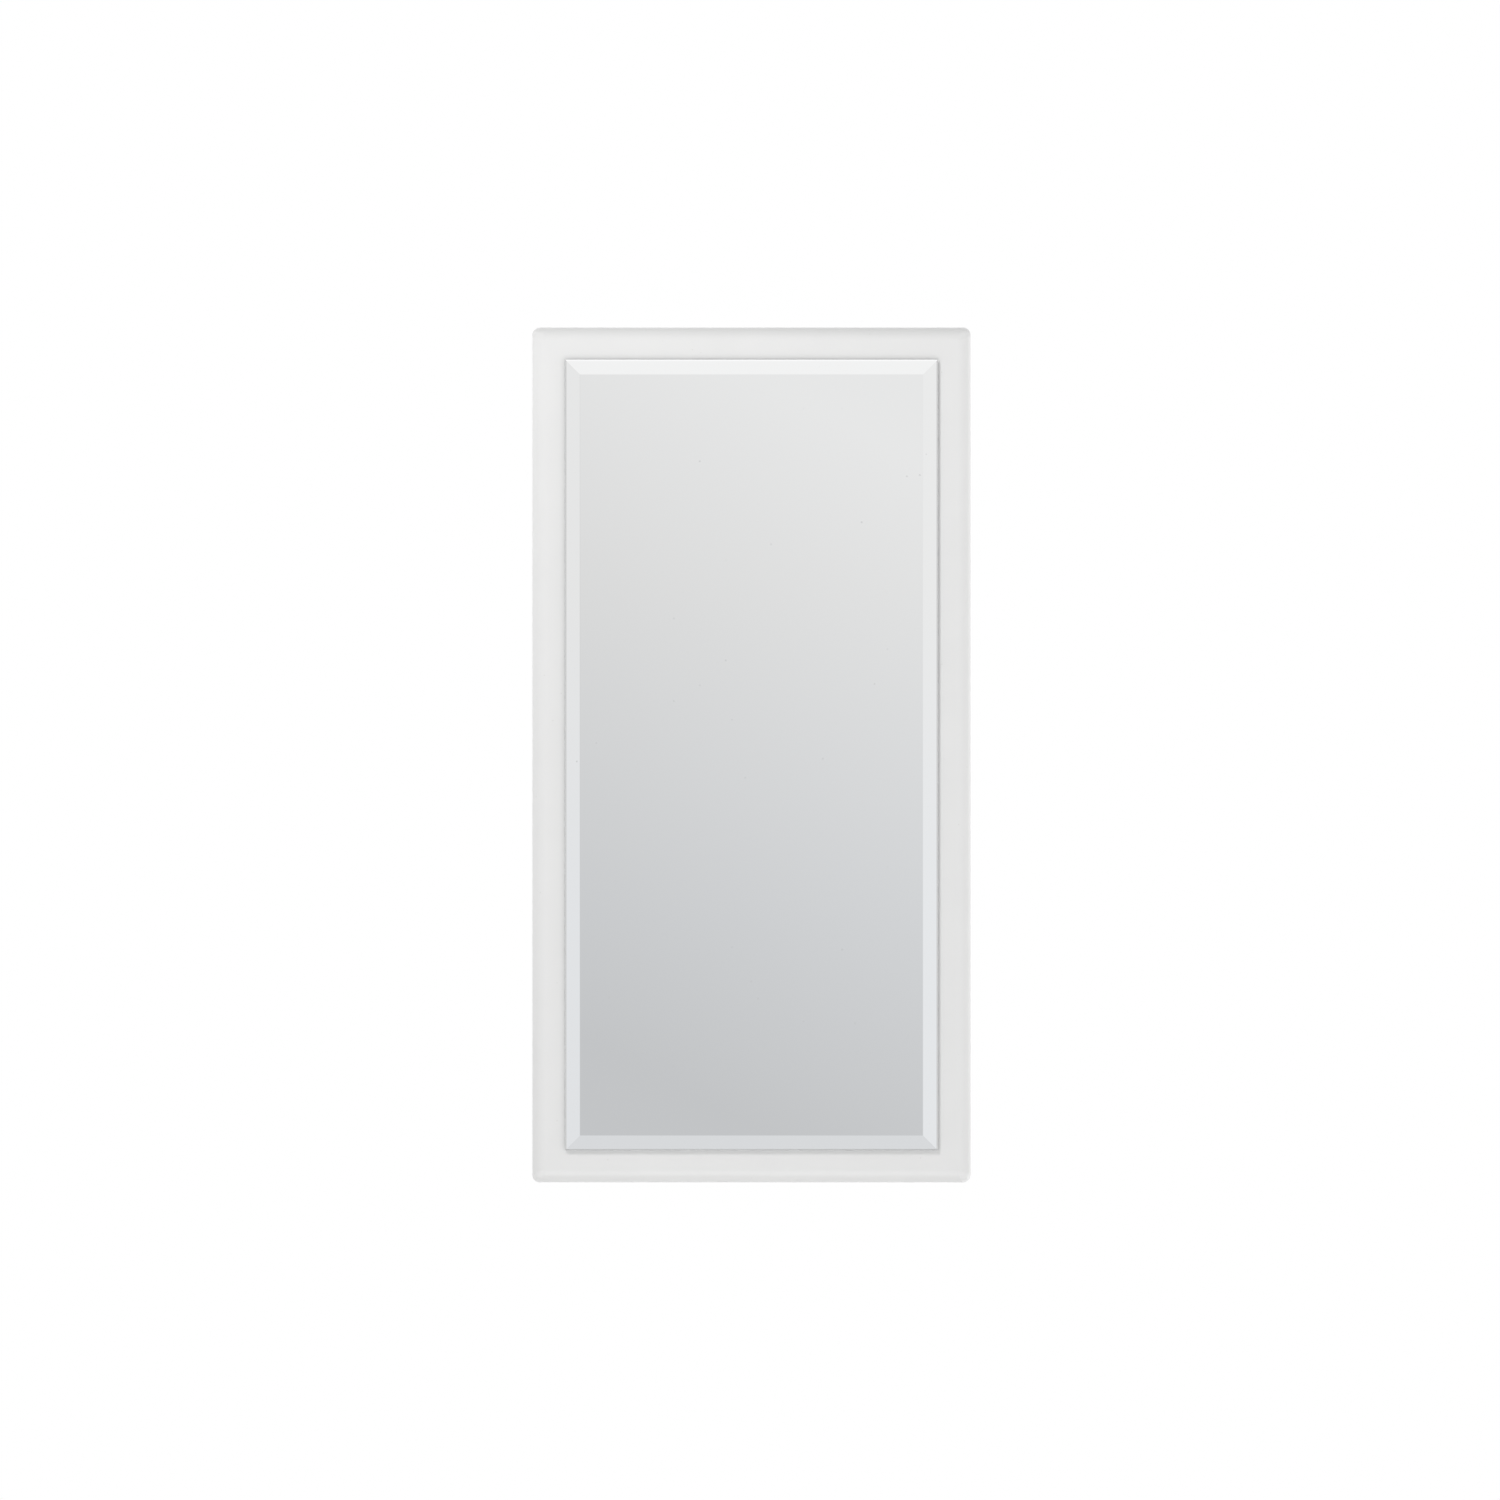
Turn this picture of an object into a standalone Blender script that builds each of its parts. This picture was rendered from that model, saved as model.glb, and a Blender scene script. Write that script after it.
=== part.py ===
"""Hanging wall cabinet with one mirror door on two concealed hinges.

Units are metres, +Z is up and the front faces -Y. The origin is the centre of
the back face of the wall rail, on the wall plane y = 0. The door hangs on the
left side panel and turns about one pin line inside the hinge cups.
"""

import math

import bmesh
import bpy
from mathutils import Matrix, Vector

OBJECT_NAME = "hanging_wall_cabinet"
CUTTERS_NAME = "cutters"

# Overall sizes
DOOR_WIDTH = 0.400
DOOR_HEIGHT = 0.780
DOOR_THICK = 0.018
DOOR_OVERHANG = 0.002
DOOR_GAP = 0.003
CARCASS_DEPTH = 0.144
PANEL = 0.016
FIT = 0.0003

# Heights measured from the wall rail
CARCASS_TOP = 0.060
DOOR_TOP = CARCASS_TOP + DOOR_OVERHANG
DOOR_BOTTOM = DOOR_TOP - DOOR_HEIGHT
CARCASS_BOTTOM = DOOR_BOTTOM + DOOR_OVERHANG
DOOR_MID = 0.5 * (DOOR_TOP + DOOR_BOTTOM)

# Widths measured from the middle
OUT_X = DOOR_WIDTH / 2.0 - DOOR_OVERHANG
IN_X = OUT_X - PANEL

# Door slab: front edges, upright corners and back edges are rounded differently
DOOR_BACK = -(CARCASS_DEPTH + DOOR_GAP)
DOOR_FRONT = DOOR_BACK - DOOR_THICK
FRONT_ROUND = 0.013
CORNER_ROUND = 0.007
BACK_ROUND = 0.002

# Mirror on a sheet of mounting tape
MIRROR_MARGIN = 0.030
MIRROR_THICK = 0.004
MIRROR_BEVEL = 0.014
MIRROR_BEVEL_DEEP = 0.0022
TAPE_THICK = 0.0008
TAPE_MARGIN = 0.035

# Back panel, set in grooves to leave room behind for the hangers
BACK_Y = -0.018
BACK_THICK = 0.003
GROOVE = 0.006

# Shelves on pegs
SHELF_TOPS = {"upper": -0.142, "middle": -0.328, "lower": -0.514}
SHELF_THICK = 0.005
SHELF_BACK = -0.0225
SHELF_FRONT = -0.136
PEG_ROWS = {"back": -0.040, "front": -0.107}
PEG_STEP = 0.032
PEG_RADIUS = 0.0024
PEG_SUPPORT = 0.0025
PEG_DROP = SHELF_THICK + FIT + PEG_SUPPORT
SIDES = {"left": -1.0, "right": 1.0}

# Hinges: s runs right from the inner side face, t runs out from the front edges
HINGE_HEIGHTS = {"upper": -0.040, "lower": -0.616}
PIVOT_S = -0.010
PIVOT_T = 0.012
CUP_S = 0.0035
CUP_RADIUS = 0.0175
CUP_WALL = 0.0011
CUP_FLOOR_T = 0.0145
FLANGE_THICK = 0.0011
NOTCH_T = 0.0065
NOTCH_HALF = 0.0050
CUP_SCREW_S = 0.0095
CUP_SCREW_RISE = 0.024
PLATE_T = -0.037
PLATE_SCREW_RISE = 0.016
ARM_SCREW_T = -0.046
PIN_HALF = 0.0097
ARM_HALF = 0.0011
ARM_LINE = (
    (PIVOT_S, PIVOT_T),
    (-0.0012, 0.0130),
    (0.0004, 0.0124),
    (0.0012, 0.0108),
    (0.0028, 0.0045),
    (0.0050, -0.0006),
    (0.0075, -0.0040),
    (0.0103, -0.0056),
    (0.0103, -0.0200),
)

# Push latch on the right side panel
LATCH_Z = -0.235
LATCH_X = IN_X - 0.0085
LATCH_TIP = -0.1455
LATCH_SCREWS = {"rear": (-0.086, LATCH_Z), "front": (-0.125, LATCH_Z + 0.014)}
STRIKE_SCREW_X = LATCH_X - 0.0095

# Hangers and the wall rail they hook over
HANGER_X = 0.150
HANGER_BACK = BACK_Y - BACK_THICK - FIT
HANGER_FRONT = HANGER_BACK - 0.019
RAIL_HALF = 0.177
RAIL_SCREW_X = 0.090

# Colours and surface values: colour, metallic, roughness, transmission
WHITE_BOARD = ((0.86, 0.86, 0.85), 0.0, 0.45, 0.0)
WHITE_LACQUER = ((0.88, 0.88, 0.87), 0.0, 0.28, 0.0)
WHITE_PLASTIC = ((0.84, 0.84, 0.82), 0.0, 0.35, 0.0)
GREY_PLASTIC = ((0.45, 0.46, 0.47), 0.0, 0.45, 0.0)
NICKEL = ((0.72, 0.70, 0.67), 1.0, 0.22, 0.0)
STEEL = ((0.60, 0.61, 0.62), 1.0, 0.35, 0.0)
GLASS = ((0.80, 0.93, 0.88), 0.0, 0.04, 1.0)
SILVERED = ((0.90, 0.92, 0.92), 1.0, 0.02, 0.0)
RUBBER = ((0.72, 0.73, 0.72), 0.0, 0.60, 0.0)
FOAM = ((0.30, 0.31, 0.32), 0.0, 0.80, 0.0)

# Local Z of a primitive laid along world X, Y or Z, and the sign that Z gets there
AXIS_TURN = {
    0: (math.pi / 2.0, 0.0, math.pi / 2.0),
    1: (math.pi / 2.0, 0.0, 0.0),
    2: (0.0, 0.0, 0.0),
}
AXIS_SIGN = {0: 1.0, 1: -1.0, 2: 1.0}
SMOOTH_ANGLE = math.radians(32.0)


def hinge_x(offset):
    """World x of a hinge offset s."""
    return -IN_X + offset


def hinge_y(offset):
    """World y of a hinge offset t."""
    return -(CARCASS_DEPTH + offset)


PIVOT = Vector((hinge_x(PIVOT_S), hinge_y(PIVOT_T), DOOR_MID))


# ---------------------------------------------------------------- scene set-up
def clear_scene():
    """Remove everything from the start-up scene."""
    for thing in list(bpy.data.objects):
        bpy.data.objects.remove(thing, do_unlink=True)


def new_collection(name, parent):
    """Make a collection under another one."""
    group = bpy.data.collections.new(name)
    parent.children.link(group)
    return group


def new_material(name, colour, metallic, roughness, transmission):
    """Make one Principled material."""
    mat = bpy.data.materials.new(name)
    mat.use_nodes = True
    shader = mat.node_tree.nodes["Principled BSDF"]
    shader.inputs["Base Color"].default_value = (*colour, 1.0)
    shader.inputs["Metallic"].default_value = metallic
    shader.inputs["Roughness"].default_value = roughness
    shader.inputs["Transmission Weight"].default_value = transmission
    return mat


# ---------------------------------------------------------------- shapes
def along(axis, across, level):
    """World point from a level on one axis and the other two coordinates."""
    point = list(across)
    point.insert(axis, level)
    return point


def mesh_object(name, shape, location, rotation=(0.0, 0.0, 0.0)):
    """Object from a finished bmesh."""
    mesh = bpy.data.meshes.new(name)
    shape.to_mesh(mesh)
    shape.free()
    thing = bpy.data.objects.new(name, mesh)
    thing.location = location
    thing.rotation_euler = rotation
    return thing


def box(name, low, high):
    """Box between two corners."""
    shape = bmesh.new()
    bmesh.ops.create_cube(shape, size=1.0)
    size = [top - bottom for bottom, top in zip(low, high)]
    bmesh.ops.scale(shape, vec=size, verts=shape.verts)
    middle = [0.5 * (top + bottom) for bottom, top in zip(low, high)]
    return mesh_object(name, shape, middle)


def rod(name, axis, across, radius, low, high, sides=24):
    """Cylinder along one axis."""
    shape = bmesh.new()
    bmesh.ops.create_cone(
        shape, cap_ends=True, segments=sides, radius1=radius, radius2=radius, depth=high - low
    )
    return mesh_object(name, shape, along(axis, across, 0.5 * (low + high)), AXIS_TURN[axis])


def turned(name, axis, across, profile, steps=24):
    """Turned solid from (radius, level) pairs, swept by a Screw modifier."""
    middle = 0.5 * (profile[0][1] + profile[-1][1])
    line = [(0.0, profile[0][1]), *profile, (0.0, profile[-1][1])]
    points = [(radius, 0.0, AXIS_SIGN[axis] * (level - middle)) for radius, level in line]
    if points[0][2] < points[-1][2]:
        points.reverse()
    mesh = bpy.data.meshes.new(name)
    mesh.from_pydata(points, [(i, i + 1) for i in range(len(points) - 1)], [])
    thing = bpy.data.objects.new(name, mesh)
    thing.location = along(axis, across, middle)
    thing.rotation_euler = AXIS_TURN[axis]
    sweep = thing.modifiers.new("Turn", "SCREW")
    sweep.steps = steps
    sweep.render_steps = steps
    sweep.use_merge_vertices = True
    sweep.merge_threshold = 0.00001
    return thing


def plate(name, outline, axis, low, high):
    """Flat outline given thickness along one axis, as a welded mesh."""
    centre = [0.5 * (min(side) + max(side)) for side in zip(*outline)]
    curve = bpy.data.curves.new(name, "CURVE")
    curve.dimensions = "2D"
    curve.fill_mode = "BOTH"
    curve.extrude = 0.5 * (high - low)
    spline = curve.splines.new("POLY")
    spline.points.add(len(outline) - 1)
    spline.use_cyclic_u = True
    for point, (first, second) in zip(spline.points, outline):
        point.co = (first - centre[0], second - centre[1], 0.0, 1.0)
    helper = bpy.data.objects.new(name + "_outline", curve)
    bpy.context.scene.collection.objects.link(helper)
    bpy.context.view_layer.update()
    graph = bpy.context.evaluated_depsgraph_get()
    mesh = bpy.data.meshes.new_from_object(helper.evaluated_get(graph))
    bpy.data.objects.remove(helper, do_unlink=True)
    shape = bmesh.new()
    shape.from_mesh(mesh)
    bpy.data.meshes.remove(mesh)
    bmesh.ops.remove_doubles(shape, verts=shape.verts, dist=0.00001)
    bmesh.ops.recalc_face_normals(shape, faces=shape.faces)
    return mesh_object(name, shape, along(axis, centre, 0.5 * (low + high)), AXIS_TURN[axis])


def circle(first, second, radius, sides=24):
    """Points round a circle."""
    step = 2.0 * math.pi / sides
    angles = [step * (i + 0.5) for i in range(sides)]
    return [(first + radius * math.cos(a), second + radius * math.sin(a)) for a in angles]


def around(points):
    """Convex outline round a set of points."""
    points = sorted(set(points))

    def chain(sequence):
        kept = []
        for point in sequence:
            while len(kept) > 1:
                (ax, ay), (bx, by) = kept[-2:]
                if (bx - ax) * (point[1] - ay) - (by - ay) * (point[0] - ax) > 1e-12:
                    break
                kept.pop()
            kept.append(point)
        return kept[:-1]

    return chain(points) + chain(reversed(points))


def strip_outline(line, half):
    """Outline of a strip of constant thickness along a bent line."""
    points = [Vector(point) for point in line]
    left, right = [], []
    for i, point in enumerate(points):
        ahead = (points[min(i + 1, len(points) - 1)] - point).normalized()
        behind = (point - points[max(i - 1, 0)]).normalized()
        if i == 0:
            behind = ahead
        if i == len(points) - 1:
            ahead = behind
        normal = Vector((-ahead.y - behind.y, ahead.x + behind.x)).normalized()
        reach = half / normal.dot(Vector((-ahead.y, ahead.x)))
        left.append(tuple(point + normal * reach))
        right.append(tuple(point - normal * reach))
    return left + right[::-1]


def screw_profile(tip, seat, top, radius, head):
    """Profile of a domed screw: pointed tip, shank, head from seat to top, socket."""
    way = math.copysign(1.0, top - seat)
    tall = abs(top - seat)
    return [
        (radius * 0.4, tip),
        (radius, tip + way * radius * 1.6),
        (radius, seat),
        (head, seat),
        (head, seat + way * tall * 0.45),
        (head * 0.65, top),
        (head * 0.45, top),
        (head * 0.32, seat + way * tall * 0.40),
    ]


# ---------------------------------------------------------------- finishing
def part(thing, look, bevel=0.0, on_door=False, smooth=True):
    """File an object as a sub-part, with its material and edge rounding."""
    bpy.data.collections[OBJECT_NAME].objects.link(thing)
    thing.data.materials.append(new_material(thing.name, *look))
    if smooth and thing.type == "MESH":
        thing.data.shade_smooth()
        thing.data.set_sharp_from_angle(angle=SMOOTH_ANGLE)
    if bevel:
        edges = thing.modifiers.new("Edges", "BEVEL")
        edges.width = bevel
        edges.segments = 2
        edges.limit_method = "ANGLE"
    if on_door:
        thing.parent = bpy.data.objects["door_axis"]
        thing.matrix_parent_inverse = Matrix.Translation(-PIVOT)
    return thing


def boolean(thing, operation, tools):
    """Cut hidden solids from a part, or join them to it."""
    name = thing.name + "_" + operation.lower() + str(len(thing.modifiers))
    group = new_collection(name, bpy.data.collections[CUTTERS_NAME])
    for i, tool in enumerate(tools):
        tool.name = name + "_" + str(i)
        tool.hide_render = True
        tool.display_type = "WIRE"
        group.objects.link(tool)
    change = thing.modifiers.new(operation.title(), "BOOLEAN")
    change.operation = operation
    change.solver = "EXACT"
    change.operand_type = "COLLECTION"
    change.collection = group


def cut(thing, *tools):
    """Cut hidden solids from a part."""
    boolean(thing, "DIFFERENCE", tools)


def join(thing, *tools):
    """Join hidden solids to a part."""
    for tool in tools:
        boolean(thing, "UNION", [tool])


# ---------------------------------------------------------------- carcass
def peg_level(shelf_top, step=0):
    """Height of a peg hole, counted in steps from the hole in use."""
    return shelf_top - PEG_DROP + step * PEG_STEP


def peg_holes(sign):
    """Two rows of blind holes for the shelf pegs of one side panel."""
    ends = sorted((sign * (IN_X - 0.001), sign * (IN_X + 0.009)))
    return [
        rod("hole", 0, (row, peg_level(top, step)), PEG_RADIUS + FIT, *ends, 10)
        for top in SHELF_TOPS.values()
        for step in (-1, 0, 1)
        for row in PEG_ROWS.values()
    ]


def build_side(side):
    """Side panel over the full height, grooved for the back panel."""
    sign = SIDES[side]
    inner, outer = sign * IN_X, sign * OUT_X
    low = (min(inner, outer), -CARCASS_DEPTH, CARCASS_BOTTOM)
    high = (max(inner, outer), 0.0, CARCASS_TOP)
    panel = part(box(side + "_side_panel", low, high), WHITE_BOARD, 0.0006)
    near, far = sorted((sign * (IN_X - 0.001), sign * (IN_X + GROOVE)))
    rear, front = BACK_Y + FIT, BACK_Y - BACK_THICK - FIT
    stop = PANEL - GROOVE
    groove = box("groove", (near, front, CARCASS_BOTTOM + stop), (far, rear, CARCASS_TOP - stop))
    holes = peg_holes(sign)
    if side == "left":
        for level in HINGE_HEIGHTS.values():
            for rise in (-PLATE_SCREW_RISE, PLATE_SCREW_RISE):
                across = (hinge_y(PLATE_T), level + rise)
                holes.append(rod("hole", 0, across, 0.0019, hinge_x(-0.012), hinge_x(0.001), 12))
    else:
        for across in LATCH_SCREWS.values():
            holes.append(rod("hole", 0, across, 0.0017, IN_X - 0.001, IN_X + 0.011, 12))
    cut(panel, groove, *holes)


def build_cross(name, low, high, groove_low, groove_high):
    """Top or bottom panel between the sides, grooved for the back panel."""
    half = IN_X - FIT
    solid = box(name, (-half, -CARCASS_DEPTH, low), (half, 0.0, high))
    panel = part(solid, WHITE_BOARD, 0.0006)
    rear, front = BACK_Y + FIT, BACK_Y - BACK_THICK - FIT
    cut(panel, box("groove", (-half - 0.001, front, groove_low), (half + 0.001, rear, groove_high)))


def build_back():
    """Thin back panel with openings for the hanger hooks."""
    reach = IN_X + GROOVE - FIT
    low = CARCASS_BOTTOM + PANEL - GROOVE + FIT
    high = CARCASS_TOP - PANEL + GROOVE - FIT
    solid = box("back_panel", (-reach, BACK_Y - BACK_THICK, low), (reach, BACK_Y, high))
    panel = part(solid, WHITE_BOARD)
    openings = [
        box("opening", (x - 0.018, BACK_Y - 0.010, -0.020), (x + 0.018, BACK_Y + 0.010, 0.032))
        for x in (-HANGER_X, HANGER_X)
    ]
    cut(panel, *openings)


def build_carcass():
    """Five panels of the carcass."""
    for side in SIDES:
        build_side(side)
    low = CARCASS_TOP - PANEL
    build_cross("top_panel", low, CARCASS_TOP, low - 0.001, low + GROOVE)
    high = CARCASS_BOTTOM + PANEL
    build_cross("bottom_panel", CARCASS_BOTTOM, high, high - GROOVE, high + 0.001)
    build_back()


def build_shelves():
    """Three glass shelves, each on four pegs."""
    half = IN_X - 0.0015
    for shelf, top in SHELF_TOPS.items():
        low = (-half, SHELF_FRONT, top - SHELF_THICK)
        part(box(shelf + "_shelf", low, (half, SHELF_BACK, top)), GLASS, 0.0008)
        for side, sign in SIDES.items():
            for place, row in PEG_ROWS.items():
                profile = [
                    (PEG_RADIUS, sign * (IN_X + 0.0084)),
                    (PEG_RADIUS, sign * (IN_X - FIT)),
                    (0.0040, sign * (IN_X - FIT)),
                    (0.0040, sign * (IN_X - 0.0011)),
                    (PEG_SUPPORT, sign * (IN_X - 0.0011)),
                    (PEG_SUPPORT, sign * (IN_X - 0.0090)),
                ]
                name = "_".join((shelf, "shelf_peg", side, place))
                part(turned(name, 0, (row, peg_level(top)), profile, 12), NICKEL)


# ---------------------------------------------------------------- hanging
def build_hanger(side):
    """Hanging case in a top corner, its hook and its adjusting screw."""
    x = SIDES[side] * HANGER_X
    low, high = (x - 0.030, HANGER_FRONT, -0.024), (x + 0.030, HANGER_BACK, 0.0435)
    case = part(box(side + "_hanger_case", low, high), WHITE_PLASTIC, 0.0015)
    hollow = box("hollow", (x - 0.014, HANGER_BACK - 0.012, -0.016), (x + 0.014, HANGER_BACK + 0.002, 0.030))
    bore = rod("bore", 1, (x, 0.006), 0.0040, HANGER_FRONT - 0.001, HANGER_BACK - 0.011, 20)
    cut(case, hollow, bore)
    stem, lip = HANGER_BACK - 0.0110, -0.0022
    section = [
        (stem, -0.012),
        (stem + 0.0020, -0.012),
        (stem + 0.0020, 0.0244),
        (lip - 0.0020, 0.0244),
        (lip - 0.0020, 0.0145),
        (lip, 0.0145),
        (lip, 0.0266),
        (stem, 0.0266),
    ]
    part(plate(side + "_hanger_hook", section, 0, x - 0.011, x + 0.011), STEEL)
    start = HANGER_FRONT + 0.0004
    profile = [
        (0.0032, HANGER_BACK - 0.0114),
        (0.0036, HANGER_BACK - 0.0120),
        (0.0036, start + 0.0006),
        (0.0032, start),
        (0.0018, start),
        (0.0012, start + 0.0026),
    ]
    part(turned(side + "_hanger_screw", 1, (x, 0.006), profile, 16), STEEL)


def build_rail():
    """Folded steel wall rail and its two wall screws."""
    section = [
        (0.0, -0.0120),
        (0.0, 0.0120),
        (-0.0048, 0.0120),
        (-0.0048, 0.0241),
        (-0.0066, 0.0241),
        (-0.0066, 0.0102),
        (-0.0018, 0.0102),
        (-0.0018, -0.0120),
    ]
    rail = part(plate("wall_rail", section, 0, -RAIL_HALF, RAIL_HALF), STEEL)
    holes = []
    for side, sign in SIDES.items():
        across = (sign * RAIL_SCREW_X, -0.003)
        holes.append(rod("hole", 1, across, 0.0028, -0.004, 0.002, 16))
        profile = [
            (0.0024, -0.0002),
            (0.0024, -0.0021),
            (0.0052, -0.0021),
            (0.0052, -0.0036),
            (0.0040, -0.0050),
            (0.0020, -0.0050),
            (0.0014, -0.0034),
        ]
        part(turned(side + "_rail_screw", 1, across, profile, 16), NICKEL)
    cut(rail, *holes)


# ---------------------------------------------------------------- hinges
def build_hinge_plate(name, level):
    """Mounting plate screwed to the side panel, with a raised spine."""
    middle = hinge_y(PLATE_T)
    corners = [(middle + dy, level + dz) for dy in (-0.009, 0.009) for dz in (-0.008, 0.008)]
    for rise in (-PLATE_SCREW_RISE, PLATE_SCREW_RISE):
        corners += circle(middle, level + rise, 0.0065, 20)
    solid = plate(name + "_hinge_plate", around(corners), 0, hinge_x(FIT), hinge_x(0.0025))
    base = part(solid, NICKEL)
    low = (hinge_x(0.0012), hinge_y(-0.012), level - 0.0052)
    high = (hinge_x(0.0086), hinge_y(-0.060), level + 0.0052)
    join(base, box("spine", (low[0], high[1], low[2]), (high[0], low[1], high[2])))
    holes = [
        rod("hole", 0, (middle, level + rise), 0.0021, hinge_x(-0.001), hinge_x(0.004), 16)
        for rise in (-PLATE_SCREW_RISE, PLATE_SCREW_RISE)
    ]
    across = (hinge_y(ARM_SCREW_T), level)
    holes.append(rod("hole", 0, across, 0.0023, hinge_x(0.0030), hinge_x(0.0096), 16))
    cut(base, *holes)


def build_hinge_arm(name, level):
    """Channel arm that reaches round into the cup and ends in an eye."""
    outline = [(hinge_x(s), hinge_y(t)) for s, t in strip_outline(ARM_LINE, ARM_HALF)]
    arm = part(plate(name + "_hinge_arm", outline, 2, level - 0.004, level + 0.004), NICKEL)
    pivot = (hinge_x(PIVOT_S), hinge_y(PIVOT_T))
    eye = rod("eye", 2, pivot, 0.0021, level - 0.004, level + 0.004)
    back, front = hinge_y(-0.062), hinge_y(-0.0085)
    web = box("web", (hinge_x(0.0092), front, level - 0.0072), (hinge_x(0.0114), back, level + 0.0072))
    cheeks = [
        box("cheek", (hinge_x(0.0036), front - 0.002, low), (hinge_x(0.0102), back + 0.001, low + 0.0014))
        for low in (level - 0.0071, level + 0.0057)
    ]
    join(arm, eye, web, *cheeks)
    pin_hole = rod("hole", 2, pivot, 0.0014, level - 0.006, level + 0.006, 16)
    across = (hinge_y(ARM_SCREW_T), level)
    screw_hole = rod("hole", 0, across, 0.0023, hinge_x(0.0080), hinge_x(0.0130), 16)
    cut(arm, pin_hole, screw_hole)


def build_hinge_cup(name, level):
    """Cup with a screw flange, sunk in the door."""
    outer = hinge_y(DOOR_GAP - FIT)
    inner = outer + FLANGE_THICK
    centre = (hinge_x(CUP_S), level)
    points = circle(*centre, CUP_RADIUS + 0.0012, 40)
    for rise in (-CUP_SCREW_RISE, CUP_SCREW_RISE):
        points += circle(hinge_x(CUP_SCREW_S), level + rise, 0.0056, 20)
    cup = part(plate(name + "_hinge_cup", around(points), 1, outer, inner), NICKEL, on_door=True)
    barrel = rod("barrel", 1, centre, CUP_RADIUS, hinge_y(CUP_FLOOR_T + 0.0009), outer + 0.0005, 40)
    join(cup, barrel)
    hollow = rod("hollow", 1, centre, CUP_RADIUS - CUP_WALL, hinge_y(CUP_FLOOR_T), inner + 0.002, 40)
    cut(cup, hollow)
    low = (hinge_x(-0.0170), hinge_y(NOTCH_T), level - NOTCH_HALF)
    cut(cup, box("notch", low, (hinge_x(-0.0090), hinge_y(0.0), level + NOTCH_HALF)))
    pivot = (hinge_x(PIVOT_S), hinge_y(PIVOT_T))
    holes = [rod("hole", 2, pivot, 0.0014, level - 0.0125, level + 0.0125, 16)]
    for rise in (-CUP_SCREW_RISE, CUP_SCREW_RISE):
        across = (hinge_x(CUP_SCREW_S), level + rise)
        holes.append(rod("hole", 1, across, 0.0021, outer - 0.003, inner + 0.002, 16))
    cut(cup, *holes)


def build_hinge_fasteners(name, level):
    """Pin and screws of one hinge."""
    pivot = (hinge_x(PIVOT_S), hinge_y(PIVOT_T))
    pin = rod(name + "_hinge_pin", 2, pivot, 0.0011, level - PIN_HALF, level + PIN_HALF, 16)
    part(pin, STEEL, on_door=True)
    across = (hinge_y(ARM_SCREW_T), level)
    profile = screw_profile(hinge_x(0.0034), hinge_x(0.0117), hinge_x(0.0137), 0.0019, 0.0034)
    part(turned(name + "_arm_screw", 0, across, profile, 10), NICKEL)
    seat = hinge_y(DOOR_GAP - FIT) + FLANGE_THICK + FIT
    for place, rise in (("lower", -1.0), ("upper", 1.0)):
        across = (hinge_y(PLATE_T), level + rise * PLATE_SCREW_RISE)
        profile = screw_profile(hinge_x(-0.0114), hinge_x(0.0028), hinge_x(0.0050), 0.0015, 0.0034)
        part(turned("_".join((name, "plate_screw", place)), 0, across, profile, 10), NICKEL)
        across = (hinge_x(CUP_SCREW_S), level + rise * CUP_SCREW_RISE)
        profile = screw_profile(hinge_y(0.0125), seat, seat + 0.0011, 0.0015, 0.0034)
        part(turned("_".join((name, "cup_screw", place)), 1, across, profile, 10), NICKEL, on_door=True)


# ---------------------------------------------------------------- push latch
def build_latch():
    """Push latch: screwed housing, sprung plunger with a magnet, coil spring."""
    low = (IN_X - 0.0024, -0.137, LATCH_Z - 0.0080)
    high = (IN_X - FIT, -0.080, LATCH_Z + 0.0080)
    housing = part(box("latch_housing", low, high), GREY_PLASTIC)
    centre = (LATCH_X, LATCH_Z)
    lug = box("lug", (low[0], -0.132, high[2] - 0.001), (high[0], -0.118, high[2] + 0.012))
    join(housing, lug, rod("tube", 1, centre, 0.0068, -0.142, -0.092, 28))
    cut(housing, rod("bore", 1, centre, 0.0053, -0.1435, -0.0940, 28))
    for place, across in LATCH_SCREWS.items():
        cut(housing, rod("hole", 0, across, 0.0019, IN_X - 0.0035, IN_X + 0.001, 12))
        profile = screw_profile(IN_X + 0.0104, IN_X - 0.0027, IN_X - 0.0044, 0.0014, 0.0030)
        part(turned("latch_screw_" + place, 0, across, profile, 10), NICKEL)
    profile = [
        (0.0026, -0.1040),
        (0.0030, -0.1044),
        (0.0030, -0.1200),
        (0.0048, -0.1200),
        (0.0049, -0.1204),
        (0.0049, -0.1448),
        (0.0044, -0.1452),
        (0.0039, -0.1452),
        (0.0039, -0.1410),
    ]
    part(turned("latch_plunger", 1, centre, profile), WHITE_PLASTIC)
    part(rod("latch_magnet", 1, centre, 0.0035, LATCH_TIP, -0.1413, 20), STEEL)


def build_latch_spring():
    """Coil spring round the plunger stem, a thin wire curve."""
    turns, per_turn, radius = 5, 10, 0.00415
    start, end = -0.0950, -0.1190
    curve = bpy.data.curves.new("latch_spring", "CURVE")
    curve.dimensions = "3D"
    curve.bevel_depth = 0.00045
    curve.bevel_resolution = 2
    curve.use_fill_caps = True
    spline = curve.splines.new("POLY")
    count = turns * per_turn
    spline.points.add(count)
    for i, point in enumerate(spline.points):
        angle = 2.0 * math.pi * i / per_turn
        level = (start - end) * (0.5 - i / count)
        point.co = (radius * math.cos(angle), level, radius * math.sin(angle), 1.0)
    spring = bpy.data.objects.new("latch_spring", curve)
    spring.location = (LATCH_X, 0.5 * (start + end), LATCH_Z)
    part(spring, STEEL)


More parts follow.
